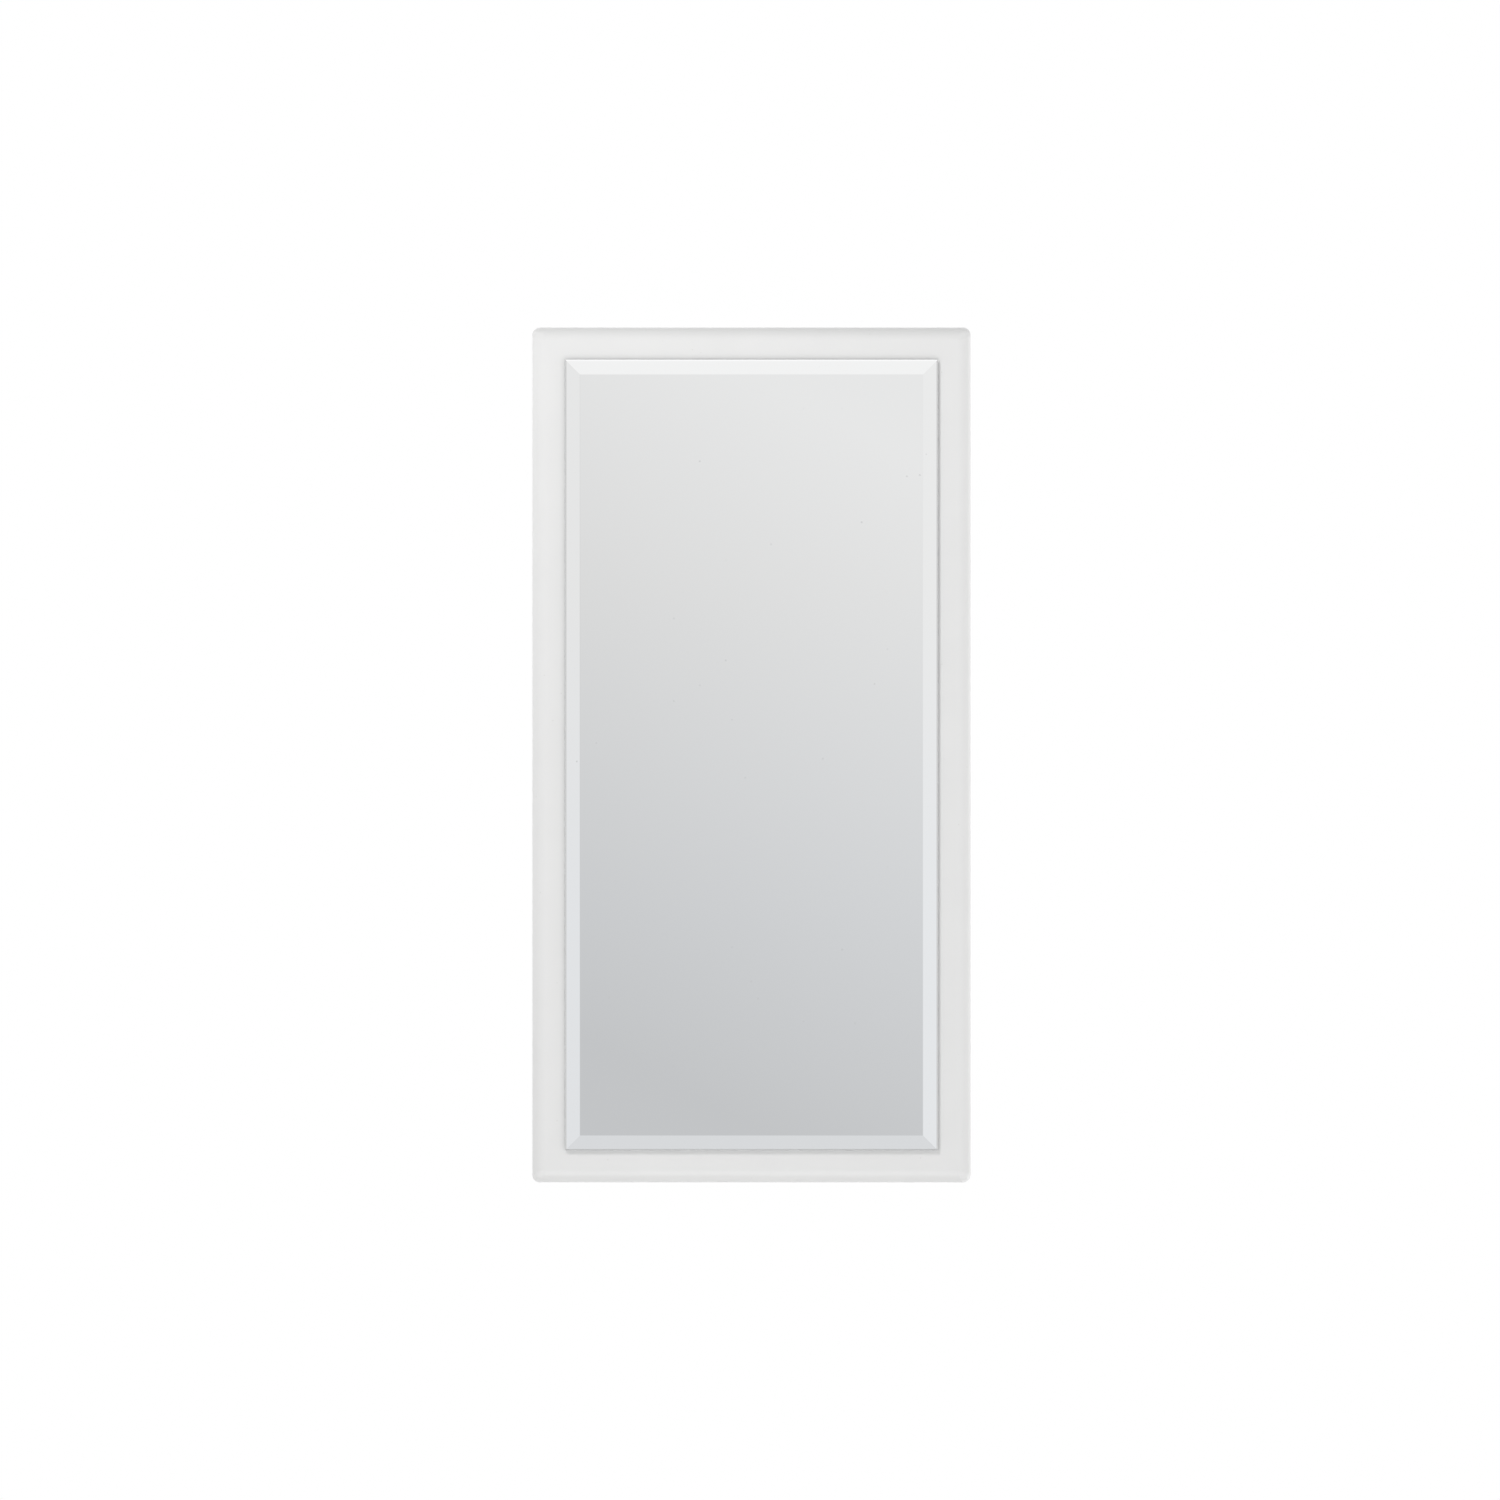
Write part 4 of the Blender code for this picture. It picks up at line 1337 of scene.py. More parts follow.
def build_stud_tree() -> bpy.types.NodeTree:
    """Tree that sets a made shape, such as a screw, at every point.

    Returns:
        The tree, with inputs Template, Loose Turn and Finish.
    """
    scatter = Scatter(
        "studs",
        {
            "Template": ("NodeSocketObject", None),
            "Loose Turn": ("NodeSocketFloat", 0.0),
            "Finish": ("NodeSocketMaterial", None),
        },
    )
    shape = scatter.wiring.node(
        "GeometryNodeObjectInfo", {"Object": scatter.start.outputs["Template"], "As Instance": True}
    )
    scatter.close(shape.outputs["Geometry"])
    return scatter.tree


def build_drill_tree() -> bpy.types.NodeTree:
    """Tree that sets a round drill at every point.

    Returns:
        The tree, with inputs Radius, Depth, Sides, Loose Turn and Finish.
    """
    scatter = Scatter(
        "drills",
        {
            "Radius": ("NodeSocketFloat", 0.0025),
            "Depth": ("NodeSocketFloat", 0.01),
            "Sides": ("NodeSocketInt", 24),
            "Loose Turn": ("NodeSocketFloat", 0.0),
            "Finish": ("NodeSocketMaterial", None),
        },
    )
    start = scatter.start.outputs
    shape = scatter.wiring.node(
        "GeometryNodeMeshCylinder", {"Vertices": start["Sides"], "Radius": start["Radius"], "Depth": start["Depth"]}
    )
    scatter.close(shape.outputs["Mesh"])
    return scatter.tree


def build_coil_tree() -> bpy.types.NodeTree:
    """Tree that winds a wire into a spring along +Z from the origin.

    Returns:
        The tree, with inputs Turns, Radius, Length, Wire and Finish.
    """
    tree = bpy.data.node_groups.new("coil", "GeometryNodeTree")
    for key, kind in (
        ("Geometry", "Geometry"),
        ("Turns", "Float"),
        ("Radius", "Float"),
        ("Length", "Float"),
        ("Wire", "Float"),
        ("Finish", "Material"),
    ):
        tree.interface.new_socket(key, in_out="INPUT", socket_type="NodeSocket" + kind)
    tree.interface.new_socket("Result", in_out="OUTPUT", socket_type="NodeSocketGeometry")
    wiring = Wiring(tree)
    start = wiring.node("NodeGroupInput").outputs
    helix = wiring.node(
        "GeometryNodeCurveSpiral",
        {
            "Resolution": 24,
            "Rotations": start["Turns"],
            "Start Radius": start["Radius"],
            "End Radius": start["Radius"],
            "Height": start["Length"],
        },
    )
    section = wiring.node("GeometryNodeCurvePrimitiveCircle", {"Resolution": 10, "Radius": start["Wire"]})
    tube = wiring.node(
        "GeometryNodeCurveToMesh", {"Curve": helix.outputs[0], "Profile Curve": section.outputs[0], "Fill Caps": True}
    )
    dressed = wiring.node("GeometryNodeSetMaterial", {"Geometry": tube.outputs[0], "Material": start["Finish"]})
    wiring.node("NodeGroupOutput", {0: dressed.outputs[0]})
    return tree


STUDS = build_stud_tree()
DRILLS = build_drill_tree()
COIL = build_coil_tree()


def run_tree(thing: bpy.types.Object, tree: bpy.types.NodeTree, inputs: dict[str, object]) -> None:
    """Run a Geometry Nodes tree on an object and keep what it makes as a plain mesh.

    Args:
        thing: The object, which is left without modifiers.
        tree: The tree.
        inputs: The tree's inputs, with underscores for spaces, Finish among them.
    """
    nodes = thing.modifiers.new("Tree", "NODES")
    nodes.node_group = tree
    sockets = {item.name: item.identifier for item in tree.interface.items_tree if item.in_out == "INPUT"}
    for key, value in inputs.items():
        nodes[sockets[key.replace("_", " ")]] = value
    result = evaluated_mesh(thing)
    result.materials.clear()
    result.materials.append(inputs["Finish"])
    result.polygons.foreach_set("material_index", [0] * len(result.polygons))
    thing.modifiers.clear()
    thing.data = result


def scattered(
    name: str, tree: bpy.types.NodeTree, places: Sequence[tuple[Vector, Vector]], **inputs: object
) -> bpy.types.Object:
    """Run a scatter tree over a set of points.

    Args:
        name: Name of the result.
        tree: The scatter tree.
        places: Point and facing of each shape.
        inputs: The tree's inputs, with underscores for spaces.

    Returns:
        The result as a plain mesh object.
    """
    mesh = bpy.data.meshes.new(name)
    mesh.from_pydata([point for point, _ in places], [], [])
    facing = mesh.attributes.new("facing", "FLOAT_VECTOR", "POINT")
    for item, (_, way) in zip(facing.data, places):
        item.vector = way
    thing = linked(name, mesh)
    run_tree(thing, tree, inputs)
    return thing


def studded(
    name: str,
    template: bpy.types.Object,
    places: Sequence[tuple[Vector, Vector]],
    finish: bpy.types.Material,
    loose: float = 0.0,
) -> bpy.types.Object:
    """Set a made shape at every place, and drop the shape itself.

    Args:
        name: Name of the result.
        template: The shape, with the point that is set at the origin.
        places: Point and facing of each shape.
        finish: Its finish.
        loose: How far each may turn about its facing, either way.

    Returns:
        The result as a plain mesh object.
    """
    template.data = evaluated_mesh(template)
    template.modifiers.clear()
    template.data.transform(template.matrix_world)
    template.matrix_world = Matrix.Identity(4)
    thing = scattered(name, STUDS, places, Template=template, Loose_Turn=loose, Finish=finish)
    bpy.data.objects.remove(template, do_unlink=True)
    return thing


def outer_end(node: str, way: Vector) -> Vector:
    """Middle of a node's end face on one side.

    Args:
        node: CAD node.
        way: Unit vector towards that side.

    Returns:
        The point.
    """
    low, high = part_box(node)
    middle = 0.5 * (low + high)
    return middle + 0.5 * Vector([(high[i] - low[i]) * way[i] for i in range(3)])


@dataclass(frozen=True)
class ScrewSpec:
    """One kind of screw: its sizes, its drive and the CAD screws that it stands for."""

    name: str
    body: str
    nodes: tuple[str, ...]
    facing: Point
    shank: float
    head: float
    head_tall: float
    drive: Drive = Drive.CROSS
    domed: float = 0.55

    def template(self) -> bpy.types.Object:
        """Make the screw with its head's top at the origin and its head towards +Z.

        Returns:
            The template object.
        """
        low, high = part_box(self.nodes[0])
        long = sum(abs((high[i] - low[i]) * self.facing[i]) for i in range(3))
        shoulder = self.head_tall * (1.0 - self.domed)
        dome = [
            (self.head * math.cos(a) ** 0.7, -self.head_tall + shoulder + (self.head_tall - shoulder) * math.sin(a))
            for a in (0.0, 0.35, 0.70, 1.0, 1.25)
        ]
        profile = [
            (self.shank * 0.35, -long),
            (self.shank, -long + self.shank * 1.5),
            (self.shank, -self.head_tall),
            (self.head * 0.94, -self.head_tall),
            (self.head, -self.head_tall + 0.0001),
            *dome,
            (self.head * 0.30, 0.0),
        ]
        screw = turned(self.name + "_template", Axis.Z, (0.0, 0.0), profile, 40)
        reach, half = self.head * 0.58, max(0.00032, self.head * 0.115)
        deep = min(0.8 * long, self.head * 0.42)
        arms = [(reach, half)] if self.drive is Drive.SLOT else [(reach, half), (half, reach)]
        if self.drive is Drive.SLOT:
            arms = [(self.head * 1.05, half)]
        tools = [box("recess", (-x, -y, -deep), (x, y, 0.001)) for x, y in arms]
        if self.drive is Drive.CROSS:
            tools.append(rod("recess", Axis.Z, (0.0, 0.0), self.head * 0.25, -deep * 1.1, 0.001, 16))
        cut(screw, *tools)
        return screw

    def build(self, finish: bpy.types.Material, slot: str) -> None:
        """Set a screw at every place.

        Args:
            finish: Its finish.
            slot: Its material slot.
        """
        way = Vector(self.facing)
        places = [(outer_end(node, way), way) for node in self.nodes]
        thing = studded(self.name, self.template(), places, finish, 1.4)
        Piece(self.name, self.body, slot, self.nodes).finish(thing)


@dataclass
class Fasteners:
    """Every screw of the cabinet."""

    palette: "Palette"
    nickel_slot: str = "bright_nickel"
    steel_slot: str = "plated_steel"
    adjuster_sunk: float = 0.0009
    adjuster_ahead: float = 0.024

    def build(self) -> None:
        """Set all kinds of screws."""
        inward = (1.0, 0.0, 0.0)
        arm_low, arm_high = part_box("upper_arm_screw")
        low_arm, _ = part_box("lower_arm_screw")
        radius = 0.5 * (arm_high.z - arm_low.z)
        face, ahead = arm_high.x - self.adjuster_sunk, arm_low.y + radius - self.adjuster_ahead
        adjusting = tuple((face, ahead, low.z + radius) for low in (arm_low, low_arm))
        specs = (
            ScrewSpec("hinge_plate_screws", CARCASS, self.named("{0}_plate_screw_{1}"), inward, 0.0015, 0.0034, 0.0020),
            ScrewSpec(
                "hinge_arm_screws", CARCASS, ("upper_arm_screw", "lower_arm_screw"), inward, 0.0019, 0.0034, 0.0018
            ),
            ScrewSpec(
                "hinge_cup_screws", DOOR, self.named("{0}_cup_screw_{1}"), (0.0, 1.0, 0.0), 0.0015, 0.0034, 0.0011
            ),
            ScrewSpec("strike_screw_fine", DOOR, ("strike_screw",), (0.0, 1.0, 0.0), 0.0014, 0.0030, 0.0011),
            ScrewSpec(
                "latch_screws",
                CARCASS,
                ("latch_screw_rear", "latch_screw_front"),
                (-1.0, 0.0, 0.0),
                0.0014,
                0.0030,
                0.0016,
            ),
            ScrewSpec(
                "rail_screws",
                CARCASS,
                ("left_rail_screw", "right_rail_screw"),
                (0.0, -1.0, 0.0),
                0.0024,
                0.0052,
                0.0027,
                Drive.SLOT,
            ),
        )
        for spec in specs:
            spec.build(self.palette.nickel, self.nickel_slot)
        hanger = ScrewSpec(
            "hanger_screws",
            CARCASS,
            ("left_hanger_screw", "right_hanger_screw"),
            (0.0, -1.0, 0.0),
            0.0032,
            0.0036,
            0.0050,
            domed=0.08,
        )
        hanger.build(self.palette.zinc, self.steel_slot)
        self.build_adjusters(adjusting)

    def build_adjusters(self, points: Sequence[Point]) -> None:
        """Slotted side-adjusting screws on the hinge arms.

        Args:
            points: Tops of their heads.
        """
        profile = [(0.0026, -0.0016), (0.0027, -0.0015), (0.0027, -0.0004), (0.0024, 0.0)]
        template = turned("adjuster_template", Axis.Z, (0.0, 0.0), profile, 36)
        cut(template, box("slot", (-0.0030, -0.0003, -0.0009), (0.0030, 0.0003, 0.001)))
        places = [(Vector(point), Vector((1.0, 0.0, 0.0))) for point in points]
        thing = studded("hinge_adjusters", template, places, self.palette.zinc, 0.9)
        Piece("hinge_adjusters", CARCASS, self.nickel_slot).finish(thing)

    @staticmethod
    def named(pattern: str) -> tuple[str, ...]:
        """Fill a name pattern with each hinge and each end."""
        return tuple(pattern.format(level.value, end) for level in Level for end in ("upper", "lower"))


# ------------------------------------------------------------------ carcass
@dataclass
class Carcass:
    """Five boards, their cam covers and the drilled rows for the shelves."""

    palette: "Palette"
    slot: str = "white_board"
    edge: float = 0.0006
    groove: float = 0.006
    peg_radius: float = 0.0027
    peg_deep: float = 0.0090
    peg_step: float = 0.032
    cover_radius: float = 0.0075
    cover_tall: float = 0.0009
    cover_rows: tuple[float, float] = (-0.112, -0.060)
    cover_aside: float = 0.148
    shelves: tuple[str, ...] = ("upper", "middle", "lower")

    def __post_init__(self) -> None:
        """Read the places of the boards."""
        self.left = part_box("left_side_panel")
        self.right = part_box("right_side_panel")
        self.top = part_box("top_panel")
        self.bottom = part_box("bottom_panel")
        self.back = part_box("back_panel")

    def build(self) -> None:
        """Make and dress every board and cover."""
        for side in Side:
            self.build_side(side)
        self.build_cross("top_panel", self.top, self.top[0].z - 0.001, self.top[0].z + self.groove)
        self.build_cross("bottom_panel", self.bottom, self.bottom[1].z - self.groove, self.bottom[1].z + 0.001)
        self.build_back()
        self.build_covers()

    def raw(self, tool: bpy.types.Object) -> bpy.types.Object:
        """Give a cutting solid the bare chipboard that it uncovers."""
        return paint(tool, self.palette.chipboard)

    def build_side(self, side: Side) -> None:
        """Side board with its groove, peg rows and screw holes.

        Args:
            side: Which side.
        """
        low, high = self.left if side is Side.LEFT else self.right
        inner = high.x if side is Side.LEFT else low.x
        board = bevelled(box(side.word + "_side_board", low, high), self.edge)
        paint(board, self.palette.board)
        stop = high.z - self.back[1].z - HAIR
        near, far = sorted((inner - side.value * 0.001, inner + side.value * self.groove))
        slit = (self.back[0].y - HAIR, self.back[1].y + HAIR)
        tools = [self.raw(box("groove", (near, slit[0], low.z + stop), (far, slit[1], high.z - stop)))]
        tools.append(self.peg_drills(side, inner))
        screws = (
            [f"{level.value}_plate_screw_{end}" for level in Level for end in ("upper", "lower")]
            if side is Side.LEFT
            else ["latch_screw_rear", "latch_screw_front"]
        )
        tools.append(self.screw_drills(side, inner, screws))
        cut(board, *tools)
        self.bare_rear(board, high.y)
        Piece(side.word + "_side_board", CARCASS, self.slot, (side.word + "_side_panel",)).finish(board)

    def peg_drills(self, side: Side, inner: float) -> bpy.types.Object:
        """Drills for three holes at each peg of one side.

        Args:
            side: Which side.
            inner: X of its inner face.

        Returns:
            The drills as one cutting solid.
        """
        places = []
        for shelf in self.shelves:
            for row in ("back", "front"):
                low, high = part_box(f"{shelf}_shelf_peg_{side.word}_{row}")
                middle = 0.5 * (low + high)
                for step in (-1, 0, 1):
                    point = Vector(
                        (inner + side.value * (0.5 * self.peg_deep - 0.0005), middle.y, middle.z + step * self.peg_step)
                    )
                    places.append((point, Vector((1.0, 0.0, 0.0))))
        return scattered(
            "peg_drills",
            DRILLS,
            places,
            Radius=self.peg_radius,
            Depth=self.peg_deep + 0.001,
            Sides=24,
            Finish=self.palette.chipboard,
        )

    def screw_drills(self, side: Side, inner: float, screws: Sequence[str]) -> bpy.types.Object:
        """Drills for the screws in a side board.

        Args:
            side: Which side.
            inner: X of its inner face.
            screws: CAD nodes of the screws.

        Returns:
            The drills as one cutting solid.
        """
        deep = 0.0125
        places = []
        for node in screws:
            low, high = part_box(node)
            middle = 0.5 * (low + high)
            places.append(
                (Vector((inner + side.value * (0.5 * deep - 0.0005), middle.y, middle.z)), Vector((1.0, 0.0, 0.0)))
            )
        return scattered(
            "screw_drills", DRILLS, places, Radius=0.0019, Depth=deep + 0.001, Sides=20, Finish=self.palette.chipboard
        )

    def build_cross(self, node: str, corners: tuple[Vector, Vector], groove_low: float, groove_high: float) -> None:
        """Board between the sides, grooved for the back.

        Args:
            node: CAD node that it stands for.
            corners: Its box.
            groove_low: Lower level of the groove.
            groove_high: Upper level of the groove.
        """
        low, high = corners
        name = node.replace("panel", "board")
        board = bevelled(box(name, low, high), self.edge)
        paint(board, self.palette.board)
        slit = (self.back[0].y - HAIR, self.back[1].y + HAIR)
        cut(
            board, self.raw(box("groove", (low.x - 0.001, slit[0], groove_low), (high.x + 0.001, slit[1], groove_high)))
        )
        self.bare_rear(board, high.y)
        Piece(name, CARCASS, self.slot, (node,)).finish(board)

    def bare_rear(self, board: bpy.types.Object, rear: float) -> None:
        """Show bare chipboard on the rear edge of a board."""
        chipboard = self.palette.chipboard
        if chipboard.name not in board.data.materials:
            board.data.materials.append(chipboard)
        index = board.data.materials.find(chipboard.name)
        for face in board.data.polygons:
            if face.normal.y > 0.9 and (board.matrix_world @ face.center).y > rear - 0.0002:
                face.material_index = index

    def build_back(self) -> None:
        """Thin back: white inside, brown hardboard behind, cut out for the hooks."""
        low, high = self.back
        board = paint(box("back_board", low, high), self.palette.back_board)
        openings = []
        for side in Side:
            hook_low, hook_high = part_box(side.word + "_hanger_hook")
            middle = 0.5 * (hook_low.x + hook_high.x)
            opening = box("opening", (middle - 0.018, low.y - 0.01, -0.020), (middle + 0.018, high.y + 0.01, 0.032))
            openings.append(paint(bevelled_corners(opening, 0.003), self.palette.hardboard))
        cut(board, *openings)
        index = board.data.materials.find(self.palette.hardboard.name)
        for face in board.data.polygons:
            if face.normal.y > 0.5 or abs(face.normal.y) < 0.5:
                face.material_index = index
        Piece("back_board", CARCASS, self.slot, ("back_panel",)).finish(board)

    def build_covers(self) -> None:
        """Small round covers over the cam fittings, inside the top and the bottom."""
        radius, tall = self.cover_radius, self.cover_tall
        profile = [
            (radius - 0.0006, -0.0001),
            (radius, 0.0001),
            (radius, tall * 0.35),
            (radius - 0.0003, tall * 0.7),
            (radius - 0.0010, tall * 0.92),
            (radius - 0.0022, tall),
        ]
        template = turned("cover_template", Axis.Z, (0.0, 0.0), profile, 48)
        cut(template, box("pry_slot", (radius - 0.0030, -0.0008, tall * 0.6), (radius + 0.001, 0.0008, tall + 0.001)))
        places = []
        for level, way in ((self.top[0].z, -1.0), (self.bottom[1].z, 1.0)):
            for row in self.cover_rows:
                for side in Side:
                    places.append((Vector((side.value * self.cover_aside, row, level)), Vector((0.0, 0.0, way))))
        thing = studded("cam_covers", template, places, self.palette.white_plastic, 3.1)
        Piece("cam_covers", CARCASS, "white_plastic").finish(thing)


def bevelled_corners(thing: bpy.types.Object, width: float) -> bpy.types.Object:
    """Round the edges of a cutting box that run along Y.

    Args:
        thing: The box.
        width: Radius of its corners.

    Returns:
        The same box.
    """
    weights = thing.data.attributes.new("bevel_weight_edge", "FLOAT", "EDGE")
    for edge, weight in zip(thing.data.edges, weights.data):
        first, second = (thing.data.vertices[i].co for i in edge.vertices)
        weight.value = 1.0 if abs(first.y - second.y) > 0.001 else 0.0
    rounding = thing.modifiers.new("Corners", "BEVEL")
    rounding.limit_method = "WEIGHT"
    rounding.width = width
    rounding.segments = 6
    return thing


# ------------------------------------------------------------------ shelves
@dataclass
class Shelves:
    """Three glass shelves with polished green edges, each on four turned pegs."""

    palette: "Palette"
    edge: float = 0.0008
    pin: float = 0.0024
    collar: float = 0.0040
    collar_tall: float = 0.0008
    support: float = 0.0025
    support_long: float = 0.0079
    pin_long: float = 0.0084
    levels: tuple[str, ...] = ("upper", "middle", "lower")

    def build(self) -> None:
        """Make and dress the shelves and the pegs."""
        for level in self.levels:
            self.build_shelf(level)
        self.build_pegs()

    def build_shelf(self, level: str) -> None:
        """One glass shelf.

        Args:
            level: Which shelf.
        """
        low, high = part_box(level + "_shelf")
        glass = bevelled(box(level + "_glass_shelf", low, high), self.edge, 3)
        paint(glass, self.palette.glass)
        glass.data = evaluated_mesh(glass)
        glass.modifiers.clear()
        paint_faces(glass, self.palette.glass_edge, lambda face: abs(face.normal.z) < 0.9)
        Piece(level + "_glass_shelf", CARCASS, "shelf_glass", (level + "_shelf",)).finish(glass)

    def build_pegs(self) -> None:
        """All twelve pegs, with a narrow groove on the arm where the glass rests."""
        tip = self.support_long
        profile = [
            (self.pin * 0.75, -tip - self.collar_tall - self.pin_long - HAIR + 0.0001),
            (self.pin, -tip - self.collar_tall - self.pin_long + 0.0006),
            (self.pin, -tip - self.collar_tall),
            (self.collar * 0.93, -tip - self.collar_tall),
            (self.collar, -tip - self.collar_tall + 0.0002),
            (self.collar, -tip - 0.0002),
            (self.collar * 0.93, -tip),
            (self.support * 0.92, -tip),
            (self.support * 0.92, -tip + 0.0010),
            (self.support, -tip + 0.0012),
            (self.support, -0.0016),
            (self.support * 0.88, -0.0013),
            (self.support * 0.88, -0.0010),
            (self.support, -0.0008),
            (self.support * 0.98, -0.0004),
            (self.support * 0.80, 0.0),
        ]
        template = turned("peg_template", Axis.Z, (0.0, 0.0), profile, 36)
        places, nodes = [], []
        for level in self.levels:
            for side in Side:
                for row in ("back", "front"):
                    node = f"{level}_shelf_peg_{side.word}_{row}"
                    way = Vector((-float(side.value), 0.0, 0.0))
                    places.append((outer_end(node, way), way))
                    nodes.append(node)
        thing = studded("shelf_pegs", template, places, self.palette.nickel)
        Piece("shelf_pegs", CARCASS, "bright_nickel", tuple(nodes)).finish(thing)


# ------------------------------------------------------------------ hinges
@dataclass
class Hinge:
    """Cup hinge: screwed plate, channel arm that reaches into the cup, cup with a flange."""

    palette: "Palette"
    level: Level
    slot: str = "bright_nickel"
    wing: float = 0.0065
    screw_rise: float = 0.016
    plate_thick: float = 0.0022
    spine_half: float = 0.0052
    arm_half: float = 0.0011
    arm_wide: float = 0.0040
    eye: float = 0.0021
    eye_bore: float = 0.0014
    web_half: float = 0.0072
    web_low: float = 0.0092
    web_high: float = 0.0114
    cup_radius: float = 0.0175
    cup_wall: float = 0.0011
    cup_floor: float = 0.0145
    flange: float = 0.0011
    cup_screw: float = 0.0095
    cup_screw_rise: float = 0.024
    line: tuple[Pair, ...] = (
        (-0.0100, 0.0120),
        (-0.0012, 0.0130),
        (0.0004, 0.0124),
        (0.0012, 0.0108),
        (0.0028, 0.0045),
        (0.0050, -0.0006),
        (0.0075, -0.0040),
        (0.0103, -0.0056),
        (0.0103, -0.0200),
    )

    def __post_init__(self) -> None:
        """Read where the hinge sits."""
        low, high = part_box(self.level.value + "_hinge_pin")
        self.pivot = (0.5 * (low.x + high.x), 0.5 * (low.y + high.y))
        self.rise = 0.5 * (low.z + high.z)
        self.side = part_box("left_side_panel")[1].x
        self.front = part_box("left_side_panel")[0].y
        self.screw_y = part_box(self.level.value + "_arm_screw")[0].y + 0.0034

    def x(self, offset: float) -> float:
        """World X of an offset from the side board."""
        return self.side + offset

    def y(self, offset: float) -> float:
        """World Y of an offset out from the front edges."""
        return self.front - offset

    def name(self, part: str) -> str:
        """Name of a CAD node of this hinge."""
        return f"{self.level.value}_hinge_{part}"

    def build(self) -> None:
        """Make and dress the plate, the arm, the cup and the pin."""
        self.build_plate()
        self.build_arm()
        self.build_cup()
        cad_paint(self.name("pin"), self.palette.zinc)

    def build_plate(self) -> None:
        """Winged plate with a raised spine and straight drilled holes."""
        low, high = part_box(self.name("plate"))
        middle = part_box(self.level.value + "_plate_screw_upper")
        centre = 0.5 * (middle[0].y + middle[1].y)
        corners = [(centre + dy, self.rise + dz) for dy in (-0.009, 0.009) for dz in (-0.008, 0.008)]
        for rise in (-self.screw_rise, self.screw_rise):
            corners += circle(centre, self.rise + rise, self.wing, 48)
        base = plate("plate_base", around(corners), Axis.X, low.x, low.x + self.plate_thick)
        paint(bevelled(base, 0.0004, 2), self.palette.nickel)
        spine = box(
            "plate_spine",
            (low.x + 0.0009, low.y, self.rise - self.spine_half),
            (high.x, high.y, self.rise + self.spine_half),
        )
        join(base, paint(bevelled(spine, 0.0009, 3), self.palette.nickel))
        tools = []
        for rise in (-self.screw_rise, self.screw_rise):
            across = (centre, self.rise + rise)
            tools.append(rod("hole", Axis.X, across, 0.0021, low.x - 0.001, low.x + 0.004, 28))
        tools.append(rod("hole", Axis.X, (self.screw_y, self.rise), 0.0023, self.x(0.0030), high.x + 0.001, 28))
        for tool in tools:
            paint(tool, self.palette.nickel)
        cut(base, *tools)
        Piece(self.name("plate_fine"), CARCASS, self.slot, (self.name("plate"),)).finish(base)

    def build_arm(self) -> None:
        """Bent arm with an eye, a channel and a slotted fixing hole."""
        low, high = self.rise - self.arm_wide, self.rise + self.arm_wide
        line = eased([(self.x(s), self.y(t)) for s, t in self.line], 0.0016, 4)
        arm = bevelled(plate("arm_strip", strip_outline(line, self.arm_half), Axis.Z, low, high), 0.0003, 2)
        paint(arm, self.palette.nickel)
        eye = bevelled(rod("eye", Axis.Z, self.pivot, self.eye, low, high, 40), 0.0003, 2)
        back, front = self.y(-0.062), self.y(-0.0085)
        web = bevelled(
            box(
                "web",
                (self.x(self.web_low), front, self.rise - self.web_half),
                (self.x(self.web_high), back, self.rise + self.web_half),
            ),
            0.0009,
            3,
        )
        cheeks = [
            bevelled(
                box("cheek", (self.x(0.0036), front - 0.002, foot), (self.x(0.0102), back + 0.001, foot + 0.0014)),
                0.0003,
                2,
            )
            for foot in (self.rise - 0.0071, self.rise + 0.0057)
        ]
        for extra in (eye, web, *cheeks):
            paint(extra, self.palette.nickel)
        join(arm, eye, web, *cheeks)
        tools = [
            rod("bore", Axis.Z, self.pivot, self.eye_bore, low - 0.002, high + 0.002, 28),
            rod("hole", Axis.X, (self.screw_y, self.rise), 0.0023, self.x(0.0080), self.x(0.0130), 28),
        ]
        slit = around(
            circle(self.screw_y - 0.0085, self.rise, 0.0011, 20) + circle(self.screw_y + 0.0128, self.rise, 0.0011, 20)
        )
        tools.append(plate("slit", slit, Axis.X, self.x(self.web_high - 0.0005), self.x(self.web_high + 0.002)))
        for tool in tools:
            paint(tool, self.palette.zinc)
        cut(arm, *tools)
        Piece(self.name("arm_fine"), CARCASS, self.slot, (self.name("arm"),)).finish(arm)

    def build_cup(self) -> None:
        """Cup with a screw flange, a rolled lip and a notch for the arm."""
        low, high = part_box(self.name("cup"))
        outer = high.y
        inner = outer - self.flange
        centre = (self.x(0.0035), self.rise)
        points = circle(*centre, self.cup_radius + 0.0012, 96)
        for rise in (-self.cup_screw_rise, self.cup_screw_rise):
            points += circle(self.x(self.cup_screw), self.rise + rise, 0.0056, 48)
        cup = bevelled(plate("cup_flange", around(points), Axis.Y, inner, outer), 0.0003, 2)
        paint(cup, self.palette.nickel)
        floor = self.y(self.cup_floor)
        barrel = bevelled(rod("barrel", Axis.Y, centre, self.cup_radius, low.y, outer - 0.0002, 96), 0.0006, 3)
        join(cup, paint(barrel, self.palette.nickel))
        radius = self.cup_radius - self.cup_wall
        hollow = turned(
            "hollow",
            Axis.Y,
            centre,
            [
                (radius - 0.0010, floor),
                (radius, floor + 0.0010),
                (radius, outer - 0.0005),
                (radius + 0.0005, outer),
                (radius + 0.0005, outer + 0.002),
            ],
            96,
        )
        cut(cup, paint(hollow, self.palette.nickel))
        notch = bevelled(
            box(
                "notch",
                (self.x(-0.0170), self.y(0.0065), self.rise - 0.0050),
                (self.x(-0.0090), self.y(0.0), self.rise + 0.0050),
            ),
            0.0005,
            2,
        )
